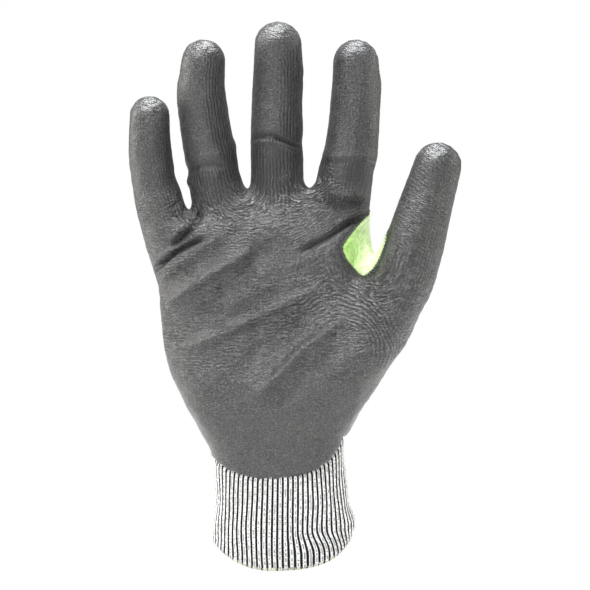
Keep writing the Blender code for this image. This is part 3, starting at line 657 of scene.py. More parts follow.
class Nodes:
    """A short way to write a node tree."""

    def __init__(self, name):
        self.material = bpy.data.materials.new(name)
        self.material.use_nodes = True
        self.tree = self.material.node_tree
        self.tree.nodes.clear()

    def node(self, kind, **settings):
        n = self.tree.nodes.new(kind)
        for k, v in settings.items():
            setattr(n, k, v)
        return n

    def put(self, socket, value):
        if hasattr(value, "is_output"):
            self.tree.links.new(value, socket)
        elif isinstance(value, (tuple, list)) and len(value) == 3 and socket.type == "RGBA":
            socket.default_value = (*value, 1)
        else:
            socket.default_value = value

    def math(self, kind, *values, clamp=False):
        n = self.node("ShaderNodeMath", operation=kind, use_clamp=clamp)
        for s, v in zip(n.inputs, values):
            self.put(s, v)
        return n.outputs[0]

    def vector(self, kind, *values):
        n = self.node("ShaderNodeVectorMath", operation=kind)
        for s, v in zip(n.inputs, values):
            self.put(s, v)
        return n.outputs["Value" if kind in ("LENGTH", "DOT_PRODUCT", "DISTANCE") else "Vector"]

    def scaled(self, vector, by):
        n = self.node("ShaderNodeVectorMath", operation="SCALE")
        self.put(n.inputs[0], vector)
        self.put(n.inputs["Scale"], by)
        return n.outputs[0]

    def mix(self, factor, a, b, kind="MIX"):
        n = self.node("ShaderNodeMix", data_type="RGBA", blend_type=kind)
        n.clamp_factor = True
        self.put(n.inputs[0], factor)
        self.put(n.inputs[6], a)
        self.put(n.inputs[7], b)
        return n.outputs[2]

    def lerp(self, factor, a, b):
        n = self.node("ShaderNodeMix", data_type="FLOAT")
        n.clamp_factor = True
        self.put(n.inputs[0], factor)
        self.put(n.inputs[2], a)
        self.put(n.inputs[3], b)
        return n.outputs[0]

    def steps(self, value, low, high, a=0.0, b=1.0):
        n = self.node("ShaderNodeMapRange", interpolation_type="SMOOTHSTEP")
        for s, v in zip(n.inputs, (value, low, high, a, b)):
            self.put(s, v)
        return n.outputs[0]

    def attribute(self, name):
        n = self.node("ShaderNodeAttribute", attribute_name=name)
        return n.outputs["Vector"]

    def value(self, name):
        n = self.node("ShaderNodeAttribute", attribute_name=name)
        return n.outputs["Fac"]

    def parts(self, vector):
        n = self.node("ShaderNodeSeparateXYZ")
        self.put(n.inputs[0], vector)
        return n.outputs[0], n.outputs[1], n.outputs[2]

    def joined(self, x, y, z=0.0):
        n = self.node("ShaderNodeCombineXYZ")
        for s, v in zip(n.inputs, (x, y, z)):
            self.put(s, v)
        return n.outputs[0]

    def noise(self, vector, scale=1.0, detail=2.0, rough=0.5, distort=0.0):
        n = self.node("ShaderNodeTexNoise")
        self.put(n.inputs["Vector"], vector)
        n.inputs["Scale"].default_value = scale
        n.inputs["Detail"].default_value = detail
        n.inputs["Roughness"].default_value = rough
        n.inputs["Distortion"].default_value = distort
        return n.outputs[0]

    def white(self, vector):
        n = self.node("ShaderNodeTexWhiteNoise")
        self.put(n.inputs["Vector"], vector)
        return n.outputs["Value"]

    def bump(self, height, distance_mm, strength=1.0, normal=None):
        n = self.node("ShaderNodeBump")
        self.put(n.inputs["Height"], height)
        n.inputs["Distance"].default_value = distance_mm * MM
        self.put(n.inputs["Strength"], strength)
        if normal is not None:
            self.put(n.inputs["Normal"], normal)
        return n.outputs[0]

    def finish(self, color, roughness, normal=None, specular=0.5, sheen=0.0, sheen_rough=0.4, coat=0.0, transmission=None):
        bsdf = self.node("ShaderNodeBsdfPrincipled")
        self.put(bsdf.inputs["Base Color"], color)
        self.put(bsdf.inputs["Roughness"], roughness)
        self.put(bsdf.inputs["Specular IOR Level"], specular)
        self.put(bsdf.inputs["Sheen Weight"], sheen)
        self.put(bsdf.inputs["Sheen Roughness"], sheen_rough)
        self.put(bsdf.inputs["Coat Weight"], coat)
        if normal is not None:
            self.put(bsdf.inputs["Normal"], normal)
        out = self.node("ShaderNodeOutputMaterial")
        self.tree.links.new(bsdf.outputs[0], out.inputs[0])
        return self.material


def stitch_height(m, wale, course):
    """Height of plain knit: each stitch is a V of two leaning strands."""
    across = m.math("FRACT", wale)
    from_middle = m.math("ABSOLUTE", m.math("SUBTRACT", across, 0.5))
    row = m.math("FRACT", m.math("ADD", course, m.math("MULTIPLY", from_middle, 1.1)))
    strand = m.math("SINE", m.math("MULTIPLY", row, math.pi))
    leg = m.math("SINE", m.math("MULTIPLY", m.math("FRACT", m.math("MULTIPLY", wale, 2.0)), math.pi))
    gap = m.steps(m.math("ABSOLUTE", m.math("SUBTRACT", across, 0.5)), 0.36, 0.5, 1.0, 0.25)
    return m.math("MULTIPLY", m.math("MULTIPLY", m.math("POWER", strand, 0.6), m.math("POWER", leg, 0.7)), gap)


def skin_material():
    m = Nodes("glove_skin")
    rest = m.attribute("rest")
    wale_f, course, wale_b = m.parts(m.attribute("knit"))
    coat, patch, finger = m.parts(m.attribute("zones"))
    dark, ripple, tip = m.parts(m.attribute("marks"))
    on_coat = m.steps(m.math("ADD", coat, m.math("MULTIPLY", m.noise(rest, 0.9, 2), 0.5)), -0.05, 0.35)
    tooth = m.math("PINGPONG", m.math("MULTIPLY", m.math("ADD", m.parts(rest)[0], m.parts(rest)[2]), 0.55), 0.5)
    on_patch = m.steps(m.math("SUBTRACT", patch, m.math("MULTIPLY", tooth, 0.5)), -0.15, 0.1)

    # dark foam coat: fine pebble, darker where a finger leaves the palm, wales where the fingers stretch it, short level ripples on the palm
    x, y, z = m.parts(rest)
    pebble = m.noise(m.vector("MULTIPLY", rest, (1.3, 1.35, 1.85)), 1.0, 2.0, 0.6)
    grain = m.noise(rest, 2.3, 1.0, 0.5)
    cloud = m.noise(rest, 0.05, 2.0, 0.5)
    jitter = m.math("MULTIPLY", m.math("SUBTRACT", m.noise(rest, 0.22, 2.0), 0.5), 0.9)
    wave = m.math("SINE", m.math("MULTIPLY", m.math("ADD", wale_f, jitter), 2 * math.pi))
    line = m.steps(wave, -0.1, 0.95)
    line = m.math("MULTIPLY", line, m.math("MULTIPLY", finger, m.steps(m.noise(rest, 0.11, 1.0), 0.34, 0.56, 0.3, 1.0)))
    line = m.math("MULTIPLY", line, m.lerp(tip, 1.0, 0.15))
    flat = m.joined(m.math("MULTIPLY", x, 0.36), m.math("MULTIPLY", y, 0.36), m.math("MULTIPLY", course, 1.15))
    dashes = m.math("SUBTRACT", m.noise(flat, 1.0, 2.0, 0.5, 0.7), 0.5)
    middle = m.math("MULTIPLY", m.steps(z, 74, 104), m.steps(z, 180, 164))
    patchy = m.steps(m.noise(rest, 0.06, 1.0), 0.36, 0.62, 0.35, 1.0)
    dash_mask = m.math("ADD", m.math("MULTIPLY", m.math("MULTIPLY", middle, patchy), 0.8), m.math("MULTIPLY", ripple, 1.15))
    dash_mask = m.math("MAXIMUM", dash_mask, 0.10)
    dash = m.math("MULTIPLY", dashes, dash_mask)
    row = m.math("SINE", m.math("MULTIPLY", m.math("ADD", m.math("DIVIDE", course, 1.45), m.math("MULTIPLY", m.noise(rest, 0.17, 2.0, 0.6), 3.2)), 2 * math.pi))
    row = m.math("MULTIPLY", row, m.math("MULTIPLY", dash_mask, m.steps(m.noise(rest, 0.2, 1.0), 0.4, 0.6)))
    # arcs of stitches over the ball of the thumb
    dx, dz = m.math("SUBTRACT", x, 27.0), m.math("SUBTRACT", z, 101.0)
    radius = m.math("SQRT", m.math("ADD", m.math("MULTIPLY", dx, dx), m.math("MULTIPLY", dz, dz)))
    arc = m.math("SINE", m.math("MULTIPLY", m.math("ADD", m.math("DIVIDE", radius, 1.85), m.math("MULTIPLY", m.noise(rest, 0.13, 2.0), 2.2)), 2 * math.pi))
    arc_mask = m.math("MULTIPLY", m.steps(radius, 9, 17), m.steps(radius, 33, 24))
    arc_mask = m.math("MULTIPLY", arc_mask, m.steps(m.math("ADD", dz, m.math("MULTIPLY", dx, 0.5)), -4, 12))
    arc_mask = m.math("MULTIPLY", arc_mask, m.steps(m.noise(rest, 0.09, 1.0), 0.3, 0.5, 0.35, 1.0))
    arc = m.math("MULTIPLY", arc, arc_mask)
    slant = m.joined(m.math("MULTIPLY", m.math("SUBTRACT", m.math("MULTIPLY", x, 0.9), m.math("MULTIPLY", z, 0.42)), 0.2),
                     m.math("MULTIPLY", y, 0.3), m.math("MULTIPLY", m.math("ADD", m.math("MULTIPLY", x, 0.42), m.math("MULTIPLY", z, 0.9)), 0.62))
    lean = m.math("ADD", m.math("MULTIPLY", x, 0.62), m.math("MULTIPLY", z, 0.78))
    stripe = m.math("SINE", m.math("MULTIPLY", m.math("ADD", m.math("DIVIDE", lean, 1.75), m.math("MULTIPLY", m.noise(rest, 0.16, 2.0), 1.6)), 2 * math.pi))
    on_thumb = m.math("MULTIPLY", m.steps(x, 46, 51), m.steps(z, 138, 156))
    on_thumb = m.math("MULTIPLY", on_thumb, m.steps(m.noise(rest, 0.12, 1.0), 0.3, 0.52, 0.2, 1.0))
    arc = m.math("ADD", arc, m.math("MULTIPLY", m.math("MULTIPLY", stripe, on_thumb), 0.34))
    wrinkle = m.math("MULTIPLY", m.math("SUBTRACT", m.noise(slant, 1.0, 3.0, 0.55, 0.9), 0.5), tip)
    fine = m.math("MULTIPLY", m.math("SUBTRACT", pebble, 0.5), m.steps(z, 62, 92, 0.72, 1.0))
    height = m.math("MULTIPLY", m.math("MULTIPLY", fine, m.lerp(tip, 1.0, 0.4)), 0.38)
    height = m.math("ADD", height, m.math("MULTIPLY", grain, 0.05))
    height = m.math("ADD", height, m.math("MULTIPLY", dash, 1.5))
    height = m.math("ADD", height, m.math("MULTIPLY", line, -0.28))
    height = m.math("ADD", height, m.math("ADD", m.math("MULTIPLY", arc, 0.19), m.math("MULTIPLY", row, 0.24)))
    height = m.math("ADD", height, m.math("MULTIPLY", wrinkle, 1.0))
    level = m.math("ADD", m.math("MULTIPLY", fine, 2.4), m.math("MULTIPLY", dash, 2.1))
    level = m.math("ADD", level, m.math("ADD", m.math("MULTIPLY", line, -0.50), m.math("ADD", m.math("MULTIPLY", arc, 0.27), m.math("MULTIPLY", row, 0.26))))
    coat_base = m.mix(m.steps(cloud, 0.3, 0.7), (0.0435, 0.0435, 0.046), (0.054, 0.0533, 0.052))
    coat_base = m.mix(m.steps(level, 0.02, -0.27, 0.0, 0.92), coat_base, (0.008, 0.008, 0.009))
    coat_base = m.mix(m.steps(level, 0.06, 0.46, 0.0, 0.65), coat_base, (0.18, 0.18, 0.177))
    root = m.math("MULTIPLY", m.math("MULTIPLY", m.steps(z, 170, 182), m.steps(z, 208, 196)), m.math("MULTIPLY", finger, 0.6))
    coat_base = m.mix(root, coat_base, (0.013, 0.013, 0.014))
    coat_base = m.mix(m.math("MULTIPLY", dark, 0.93), coat_base, (0.010, 0.010, 0.011))
    coat_base = m.mix(m.math("MULTIPLY", tip, 0.3), coat_base, (0.075, 0.08, 0.09))
    coat_rough = m.lerp(tip, m.math("ADD", 0.28, m.math("MULTIPLY", pebble, 0.16)), 0.26)
    coat_rough = m.lerp(ripple, coat_rough, 0.29)
    crest = m.math("MULTIPLY", ripple, m.steps(level, 0.12, 0.7, 0.0, 0.65))
    coat_base = m.mix(m.math("MULTIPLY", ripple, 0.12), coat_base, (0.10, 0.10, 0.103))
    coat_base = m.mix(crest, coat_base, (0.36, 0.36, 0.355))

    # plain heather knit of the back
    knit = stitch_height(m, wale_b, m.math("DIVIDE", course, 1.25))
    cell = m.joined(m.math("FLOOR", wale_b), m.math("FLOOR", m.math("DIVIDE", course, 1.25)))
    run = m.white(m.joined(m.math("FLOOR", m.math("DIVIDE", wale_b, 4.0)), m.math("FLOOR", m.math("DIVIDE", course, 1.25)), 9.0))
    yarn = m.lerp(0.4, m.white(cell), run)
    yarn2 = m.white(m.joined(m.math("FLOOR", wale_b), m.math("FLOOR", m.math("DIVIDE", course, 1.25)), 5.0))
    knit_base = m.mix(m.steps(yarn, 0.2, 0.85), (0.20, 0.20, 0.205), (0.52, 0.52, 0.51))
    knit_base = m.mix(m.steps(yarn2, 0.80, 0.86, 0.0, 0.8), knit_base, (0.07, 0.07, 0.075))
    knit_base = m.mix(m.steps(knit, 0.55, 0.05, 0.0, 0.75), knit_base, (0.055, 0.055, 0.06))
    fuzz = m.noise(rest, 3.2, 2.0)
    knit_base = m.mix(m.steps(fuzz, 0.4, 0.75, 0.0, 0.35), knit_base, (0.75, 0.75, 0.74))

    # lime patch: a crinkled glossy film over cloth
    folds = m.noise(m.vector("MULTIPLY", rest, (0.34, 0.34, 0.26)), 1.0, 3.0, 0.6, 1.2)
    washed = m.steps(m.math("ADD", x, m.math("MULTIPLY", folds, 6.0)), 33, 43)
    patch_base = m.mix(m.steps(folds, 0.36, 0.62), (0.34, 0.61, 0.14), (0.52, 0.78, 0.25))
    patch_base = m.mix(m.math("MULTIPLY", washed, 0.78), patch_base, (0.78, 0.92, 0.56))
    patch_base = m.mix(m.steps(patch, 0.9, 0.1, 0.0, 0.35), patch_base, (0.10, 0.30, 0.02))

    base = m.mix(on_coat, knit_base, coat_base)
    shade = m.math("MULTIPLY", m.steps(patch, -2.2, -0.2), m.steps(patch, 0.1, -0.1))
    base = m.mix(m.math("MULTIPLY", shade, 0.72), base, (0.010, 0.018, 0.008))
    base = m.mix(on_patch, base, patch_base)
    rough = m.lerp(on_coat, 0.85, coat_rough)
    rough = m.lerp(on_patch, rough, m.math("ADD", 0.2, m.math("MULTIPLY", folds, 0.2)))
    knit_part = m.math("MULTIPLY", knit, 0.5)
    all_height = m.lerp(on_coat, knit_part, m.math("MULTIPLY", height, 1.0))
    all_height = m.lerp(on_patch, all_height, m.math("ADD", m.math("MULTIPLY", folds, 1.6), m.math("MULTIPLY", grain, 0.05)))
    normal = m.bump(all_height, 1.0)
    sheen = m.lerp(on_coat, 0.2, 0.05)
    return m.finish(base, rough, normal, specular=m.lerp(on_coat, 0.25, 0.7), sheen=sheen, sheen_rough=0.45)


def rib_material():
    """White ribs with black grooves; two columns of stitches run down each rib."""
    m = Nodes("cuff_rib_knit")
    rib, along, inner = m.parts(m.attribute("rib"))
    across = m.math("FRACT", rib)
    from_crest = m.math("ABSOLUTE", m.math("SUBTRACT", across, 0.5))
    rest = m.attribute("rest")
    wobble = m.math("MULTIPLY", m.math("SUBTRACT", m.noise(rest, 0.9, 2.0), 0.5), 0.10)
    groove = m.steps(m.math("ADD", from_crest, wobble), 0.265, 0.315)
    stitch = m.math("DIVIDE", along, 1.05)
    column = m.math("FLOOR", m.math("MULTIPLY", rib, 2.0))
    cell = m.joined(column, m.math("FLOOR", stitch), 0.0)
    chance = m.white(cell)
    lean = m.math("ADD", stitch, m.math("MULTIPLY", from_crest, 1.0))
    loop = m.math("SINE", m.math("MULTIPLY", m.math("FRACT", lean), math.pi))
    height = m.math("MULTIPLY", m.math("POWER", loop, 0.6), m.steps(from_crest, 0.0, 0.1, 0.55, 1.0))
    base = m.mix(m.steps(m.noise(rest, 0.5, 2.0), 0.35, 0.7), (0.84, 0.84, 0.84), (0.97, 0.97, 0.97))
    speck = m.math("MULTIPLY", m.math("MULTIPLY", m.steps(chance, 0.40, 0.8), m.steps(loop, 0.8, 0.1)), m.steps(from_crest, 0.13, 0.2))
    dot = m.white(m.joined(m.math("FLOOR", rib), m.math("FLOOR", m.math("DIVIDE", along, 0.8)), 7.0))
    mid = m.math("MULTIPLY", m.steps(from_crest, 0.17, 0.07), m.steps(dot, 0.38, 0.55))
    base = m.mix(m.math("MULTIPLY", m.math("MAXIMUM", speck, mid), 0.78), base, (0.16, 0.16, 0.17))
    tint = m.white(m.joined(m.math("FLOOR", rib), m.math("FLOOR", m.math("DIVIDE", along, 9.0)), 3.0))
    base = m.mix(m.steps(tint, 0.5, 0.9, 0.0, 0.12), base, (0.62, 0.60, 0.52))
    base = m.mix(groove, base, m.mix(m.steps(m.noise(rest, 1.6, 2.0), 0.52, 0.72), (0.006, 0.006, 0.007), (0.03, 0.03, 0.03)))
    normal = m.bump(m.math("ADD", height, m.math("MULTIPLY", m.noise(rest, 2.5, 2.0), 0.4)), 0.22)
    return m.finish(base, 0.82, normal, specular=0.22, sheen=0.2)


def hem_material():
    m = Nodes("hem_overlock_thread")
    turn, around, _ = m.parts(m.attribute("rib"))
    rest = m.attribute("rest")
    t = m.math("FRACT", m.math("MULTIPLY", turn, 0.5))
    edge = m.math("ABSOLUTE", m.math("SUBTRACT", t, 0.5))
    dark = m.math("MULTIPLY", m.steps(edge, 0.27, 0.36), m.steps(m.white(m.joined(m.math("FLOOR", turn), 1.0, 2.0)), 0.2, 0.5))
    base = m.mix(m.steps(m.noise(rest, 0.35, 2.0), 0.4, 0.6), (0.72, 0.74, 0.50), (0.84, 0.84, 0.76))
    fibre = m.noise(m.joined(m.math("MULTIPLY", turn, 9.0), m.math("MULTIPLY", around, 3.0)), 1.0, 2.0)
    base = m.mix(m.steps(fibre, 0.35, 0.7, 0.4, 0.0), base, (0.34, 0.36, 0.2))
    base = m.mix(dark, base, (0.02, 0.02, 0.02))
    return m.finish(base, 0.7, m.bump(fibre, 0.15), specular=0.3, sheen=0.15)


def yarn_material(name, low, high):
    m = Nodes(name)
    place = m.node("ShaderNodeTexCoord").outputs["Object"]
    mm = m.scaled(place, 1000.0)
    fibre = m.noise(m.vector("MULTIPLY", mm, (0.9, 0.9, 2.6)), 1.0, 3.0)
    base = m.mix(m.steps(fibre, 0.35, 0.65), low, high)
    return m.finish(base, 0.8, m.bump(fibre, 0.2), specular=0.25, sheen=0.2)


def lining_material():
    m = Nodes("lining_knit")
    rest = m.attribute("rest")
    wale, course, _ = m.parts(m.attribute("knit"))
    knit = stitch_height(m, wale, m.math("DIVIDE", course, 1.25))
    yarn = m.white(m.joined(m.math("FLOOR", m.math("MULTIPLY", wale, 2.0)), m.math("FLOOR", m.math("DIVIDE", course, 2.5))))
    base = m.mix(m.steps(yarn, 0.25, 0.8), (0.22, 0.22, 0.225), (0.6, 0.6, 0.59))
    base = m.mix(m.steps(knit, 0.55, 0.05, 0.0, 0.7), base, (0.06, 0.06, 0.065))
    return m.finish(base, 0.88, m.bump(knit, 0.35), specular=0.2, sheen=0.2)


# ---------------------------------------------------------------- the cuff

CUFF = [(0, -30.2, 31.0, 20.4), (8, -31.4, 31.8, 21.0), (19, -31.6, 33.2, 21.4), (28, -31.0, 31.8, 21.2),
        (41, -31.3, 30.0, 21.0), (52, -31.7, 29.2, 20.6), (60, -33.0, 29.6, 19.6), (71, -36.5, 31.0, 18.4)]
RIBS = 70
PER_RIB = 8
HEM_SIDE_RISE = 10.0
ROWS = 60


def cuff_ring_angles():
    """Angles that space the ribs evenly round the cuff."""
    t = np.linspace(-math.pi, math.pi, 4001)
    xy = np.stack([31 * np.sin(t), -21 * np.cos(t)], 1)
    s = np.concatenate([[0], np.cumsum(np.hypot(*np.diff(xy, axis=0).T))])
    n = RIBS * PER_RIB
    return np.interp(np.arange(n) / n * s[-1], s, t), s[-1]


def cuff_foot(angle):
    """Height of the hem: lowest in front and behind, higher at the sides."""
    side = np.sin(angle) ** 2
    return HEM_SIDE_RISE * side**1.4 + 1.4 * side * (np.sin(angle) > 0) + 1.3 * np.sin(angle) * (1 - side) + 1.1


def cuff_point(angle, z, inset):
    table = spline(CUFF, 6)
    xl, xr, b = (np.interp(z, table[:, 0], table[:, i]) for i in (1, 2, 3))
    cx, a = (xl + xr) / 2, (xr - xl) / 2
    # the cuff buckles outwards low on the thumb side
    right = np.exp(-(((angle - 1.45) / 0.55) ** 2))
    buckle = 1.5 * right * np.exp(-(((z - 19.5) / 5.5) ** 2)) - 1.0 * right * smooth(z, 14, 6)
    a, b = a + buckle - inset, b + buckle * 0.4 - inset
    return np.stack([cx + a * np.sin(angle), -0.4 - b * np.cos(angle), z], -1)


def cuff_twist(angle, z):
    """How far the ribs lean, in radians: a little at the top, more where the hem is pulled round."""
    to_right = smooth(np.sin(angle), -0.1, 0.85) * smooth(np.cos(angle), -0.75, -0.1)
    lean = 0.06 * smooth(z, 20, 48)
    pull = (0.015 + 0.19 * to_right) * smooth(z, 18.5, 6.5) - 0.05 * to_right * np.exp(-(((z - 20) / 6) ** 2))
    return lean + pull


def build_cuff(material):
    angles, around = cuff_ring_angles()
    n = len(angles)
    rib = np.arange(n) / PER_RIB
    crest = np.abs((rib % 1.0) - 0.5) * 2  # 0 on the crest, 1 in the groove
    top = 69.5
    layers = []
    for layer in (0, 1):
        rows = []
        for r in range(ROWS):
            t = r / (ROWS - 1)
            foot = cuff_foot(angles)
            z = foot + (top - foot) * t
            a = angles + cuff_twist(angles, z)
            hollow = 0.85 * crest**2.4
            flare = 0.35 * smooth(z - foot, 4, 0)
            under = np.zeros(n)
            if layer == 0:
                edge = skin_foot(*cuff_point(a, z, 0)[:, :2].T)
                under = 0.75 * smooth(z - edge, -1.5, 0.8)
                wave = 0.18 * np.sin(a * 5 + z * 0.16) + 0.12 * np.sin(a * 9 - z * 0.3)
                inset = hollow + under - wave - flare
            else:
                inset = 1.75 + 0.35 * (1 - crest**2.2) * 0 + 0.4 * crest**2 * -1 + 0.4
                inset = np.full(n, 1.95) - 0.35 * (1 - crest) ** 2
            rows.append(cuff_point(a, z, inset))
        layers.append(np.array(rows))
    outer, inner = layers
    # the rim joins the two walls below and above
    points = np.concatenate([outer.reshape(-1, 3), inner.reshape(-1, 3)])
    i = np.arange(n)
    j = (i + 1) % n
    faces = []
    for r in range(ROWS - 1):
        faces.append(np.stack([r * n + i, r * n + j, (r + 1) * n + j, (r + 1) * n + i], 1))
    base = ROWS * n
    for r in range(ROWS - 1):
        faces.append(np.stack([base + r * n + j, base + r * n + i, base + (r + 1) * n + i, base + (r + 1) * n + j], 1))
    faces.append(np.stack([j, i, base + i, base + j], 1))
    last = (ROWS - 1) * n
    faces.append(np.stack([last + i, last + j, base + last + j, base + last + i], 1))
    faces = np.vstack(faces)
    obj = mesh_object("cuff_ribbed", points, faces, material)
    rows_z = points[:, 2]
    rib_all = np.tile(rib, 2 * ROWS)
    set_vector(obj, "rib", rib_all, rows_z, np.repeat([0.0, 1.0], ROWS * n))
    set_vector(obj, "rest", *points.T)
    return obj


def build_hem(material):
    """Overlock thread wound over the cuff's edge, one loop for each stitch."""
    angles, around = cuff_ring_angles()
    n, sides = len(angles) * 2, 10
    angles = np.interp(np.arange(n) / 2, np.arange(len(angles) + 1), np.append(angles, angles[0] + 2 * math.pi))
    turn = np.arange(n) / (PER_RIB * 2) * 1.0
    foot = cuff_foot(angles)
    a = angles + cuff_twist(angles, foot)
    middle = cuff_point(a, foot, 0.9)
    out = cuff_point(a, foot, -0.5) - cuff_point(a, foot, 0.5)
    out[:, 2] = 0
    out /= np.linalg.norm(out, axis=1)[:, None]
    up = np.array([0, 0, 1.0])
    loops = 0.5 + 0.5 * np.cos(2 * math.pi * turn * 2)
    points, rib = [], []
    for s in range(sides):
        t = 2 * math.pi * s / sides
        r_out = 1.0 + 0.14 * loops
        r_up = 0.72 + 0.10 * loops
        slant = 0.25 * np.sin(2 * math.pi * turn * 2 + t)
        points.append(middle + out * (r_out * math.cos(t))[:, None] + up * (r_up * math.sin(t) + 0.1 * slant)[:, None])
        rib.append(np.stack([turn * 2 + 0.25 * math.cos(t), np.full(n, s / sides)], 1))
    points = np.array(points).transpose(1, 0, 2).reshape(-1, 3)
    rib = np.array(rib).transpose(1, 0, 2).reshape(-1, 2)
    i = np.arange(n)
    j = (i + 1) % n
    faces = np.vstack([np.stack([i * sides + s, j * sides + s, j * sides + (s + 1) % sides, i * sides + (s + 1) % sides], 1) for s in range(sides)])
    obj = mesh_object("hem_overlock", points, faces, material)
    set_vector(obj, "rib", rib[:, 0], rib[:, 1], np.zeros(len(rib)))
    set_vector(obj, "rest", *points.T)
    return obj


def build_lining(material):
    """The knit inside the hand, seen through the open cuff."""
    n, rows = 160, 40
    angles = np.linspace(-math.pi, math.pi, n, endpoint=False)
    points, knit = [], []
    for r in range(rows):
        z = 66.0 + (132 - 66.0) * r / (rows - 1)
        xl, xr, yf, yb = (np.interp(z, PALM_FINE[:, 0], PALM_FINE[:, i]) for i in (1, 2, 3, 4))
        inset = 2.4 + 3.0 * smooth(z, 66, 80) * 0.4
        a, b = (xr - xl) / 2 - inset, (yb - yf) / 2 - inset - 1.8
        e = 2 / PALM_POWER
        s, c = np.sin(angles), np.cos(angles)
        x = (xl + xr) / 2 - 1.2 * smooth(z, 72, 92) + a * np.sign(s) * np.abs(s) ** e * (1 - 0.05 * smooth(z, 72, 92))
        y = (yf + yb) / 2 - b * np.sign(c) * np.abs(c) ** e
        points.append(np.stack([x, y, np.full(n, z)], 1))
        knit.append(np.stack([angles * 27, np.full(n, z), np.zeros(n)], 1))
    points = np.concatenate(points)
    knit = np.concatenate(knit)
    i = np.arange(n)
    j = (i + 1) % n
    faces = np.vstack([np.stack([r * n + j, r * n + i, (r + 1) * n + i, (r + 1) * n + j], 1) for r in range(rows - 1)])
    obj = mesh_object("lining_palm", points, faces, material)
    set_vector(obj, "knit", *knit.T)
    set_vector(obj, "rest", *points.T)
    return obj


# ---------------------------------------------------------------- assembly

REPLACED = {
    "wrist": ["coating_wrist"],
    "palm": ["liner_hand", "coating_palm"],
    "knuckles": ["liner_finger_base", "coating_finger_base", "coating_knuckles"],
    "thumb_root": ["liner_thumb_base", "coating_thumb_base", "thumb_crotch_patch"],
}
for part in ("index_middle", "index_tip", "middle_middle", "middle_tip", "ring_middle", "ring_tip", "little_middle",
             "little_tip", "thumb_middle", "thumb_tip"):
    REPLACED[part] = ["liner_" + part, "coating_" + part]

skin_points, skin_quads, fields = build_skin()
skin_normals = normals_of(skin_points, skin_quads)
wale_front, wale_back, fields["finger"], deeper = wales(skin_points, fields)
fields["dark"] = np.minimum(fields["dark"] + deeper, 1)
weights = skin_weights(skin_points)
labels = piece_of(skin_points[skin_quads].mean(1))
skin = skin_material()


def held_matrix(piece):
    """What each point of a piece follows, as {body: share}, for the seam report."""
    a, b, w = weights[piece]
    return a, b, w


for piece in weights:
    mine = skin_quads[labels == piece]
    if not len(mine):
        raise SystemExit(f"no face for {piece}")
    used = np.unique(mine)
    renumber = np.full(len(skin_points), -1)
    renumber[used] = np.arange(len(used))
    obj = mesh_object("skin_" + piece, skin_points[used], renumber[mine], skin)
    pts = skin_points[used]
    set_vector(obj, "rest", *pts.T)
    set_vector(obj, "knit", wale_front[used], fields["courses"][used], wale_back[used])
    set_vector(obj, "zones", fields["coat"][used], fields["patch"][used], fields["finger"][used])
    set_vector(obj, "marks", fields["dark"][used], fields["ripple"][used], fields["tip"][used])
    obj.data.normals_split_custom_set_from_vertices([tuple(v) for v in skin_normals[used]])
    a, b, w = weights[piece]
    if b is None:
        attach(obj, a)
    else:
        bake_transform(obj)
    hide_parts(*REPLACED[piece])

cuff = build_cuff(rib_material())
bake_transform(cuff)
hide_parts("rib_cuff", "rib_cuff_wrist")
hem = build_hem(hem_material())
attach(hem, "cuff")
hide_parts("overlock_hem")
lining = build_lining(lining_material())
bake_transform(lining)
elastic = frame["nodes"]["cuff_elastic"]
elastic.data.materials.clear()
elastic.data.materials.append(yarn_material("elastic_yarn", (0.5, 0.5, 0.49), (0.72, 0.72, 0.7)))

# ---------------------------------------------------------------- stage, light and camera


def stage_floor():
    m = Nodes("studio_floor")
    rays = m.node("ShaderNodeLightPath").outputs["Is Camera Ray"]
    bounce = m.node("ShaderNodeBsdfDiffuse")
    bounce.inputs["Color"].default_value = (0.7, 0.7, 0.7, 1)
    paper = m.node("ShaderNodeEmission")
    paper.inputs["Color"].default_value = (1, 1, 1, 1)
    both = m.node("ShaderNodeMixShader")
    m.tree.links.new(rays, both.inputs[0])
    m.tree.links.new(bounce.outputs[0], both.inputs[1])
    m.tree.links.new(paper.outputs[0], both.inputs[2])
    out = m.node("ShaderNodeOutputMaterial")
    m.tree.links.new(both.outputs[0], out.inputs[0])
    bpy.ops.mesh.primitive_plane_add(size=60, location=(0, 0, -0.0016))
    floor = bpy.context.object
    floor.name = "floor"
    floor.data.materials.append(m.material)


stage_floor()

world = bpy.data.worlds.new("studio")
bpy.context.scene.world = world
world.use_nodes = True
tree = world.node_tree
tree.nodes.clear()
seen = tree.nodes.new("ShaderNodeBackground")
seen.inputs[0].default_value = (1, 1, 1, 1)
seen.inputs[1].default_value = 1.0
lit = tree.nodes.new("ShaderNodeBackground")
lit.inputs[0].default_value = (1.0, 1.0, 1.0, 1)
lit.inputs[1].default_value = 0.10
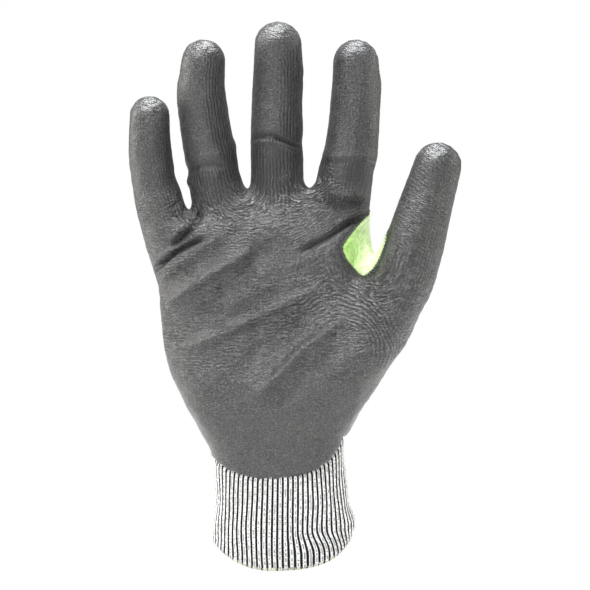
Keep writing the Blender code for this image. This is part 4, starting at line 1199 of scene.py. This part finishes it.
# the white room shows in the sheen of the coat more than it lights it
room = tree.nodes.new("ShaderNodeBackground")
room.inputs[0].default_value = (1, 1, 1, 1)
room.inputs[1].default_value = 0.24
glossy = tree.nodes.new("ShaderNodeMixShader")
mixer = tree.nodes.new("ShaderNodeMixShader")
path = tree.nodes.new("ShaderNodeLightPath")
world_out = tree.nodes.new("ShaderNodeOutputWorld")
tree.links.new(path.outputs["Is Camera Ray"], mixer.inputs[0])
tree.links.new(path.outputs["Is Glossy Ray"], glossy.inputs[0])
tree.links.new(lit.outputs[0], glossy.inputs[1])
tree.links.new(room.outputs[0], glossy.inputs[2])
tree.links.new(glossy.outputs[0], mixer.inputs[1])
tree.links.new(seen.outputs[0], mixer.inputs[2])
tree.links.new(mixer.outputs[0], world_out.inputs[0])


def area(name, place, target, size, power, color=(1, 1, 1), size_y=None):
    data = bpy.data.lights.new(name, "AREA")
    data.energy = power
    data.color = color
    data.size = size
    if size_y:
        data.shape = "RECTANGLE"
        data.size_y = size_y
    obj = bpy.data.objects.new(name, data)
    bpy.context.scene.collection.objects.link(obj)
    obj.location = place
    from mathutils import Vector
    obj.rotation_euler = (Vector(target) - Vector(place)).to_track_quat("-Z", "Y").to_euler()
    return obj


area("top", (0.0, 0.05, 1.00), (0.0, 0.0, 0.16), 0.7, 21.0)
area("key", (-0.50, -0.62, 0.95), (0.0, 0.0, 0.12), 0.22, 8.6)
area("left", (-0.92, 0.14, 0.30), (0.0, 0.0, 0.12), 0.30, 8.0, (1.0, 0.985, 0.92), 0.8)
area("right", (0.92, 0.10, 0.30), (0.0, 0.0, 0.12), 0.30, 5.0, (1.0, 0.985, 0.92), 0.8)
area("front", (0.15, -1.5, 0.40), (0.0, 0.0, 0.12), 0.4, 3.9)

ELEVATION = math.radians(4.5)
camera_data = bpy.data.cameras.new("camera")
camera_data.sensor_width = 36
camera_data.lens = 132.3
camera_data.clip_start, camera_data.clip_end = 0.05, 50
camera = bpy.data.objects.new("camera", camera_data)
bpy.context.scene.collection.objects.link(camera)
aim = np.array([0.0064, 0.0, 0.1250])
camera.location = tuple(aim + 1.0 * np.array([0, -math.cos(ELEVATION), math.sin(ELEVATION)]))
camera.rotation_euler = (math.pi / 2 - ELEVATION, 0, 0)
bpy.context.scene.camera = camera
bpy.context.scene.view_settings.view_transform = "Standard"
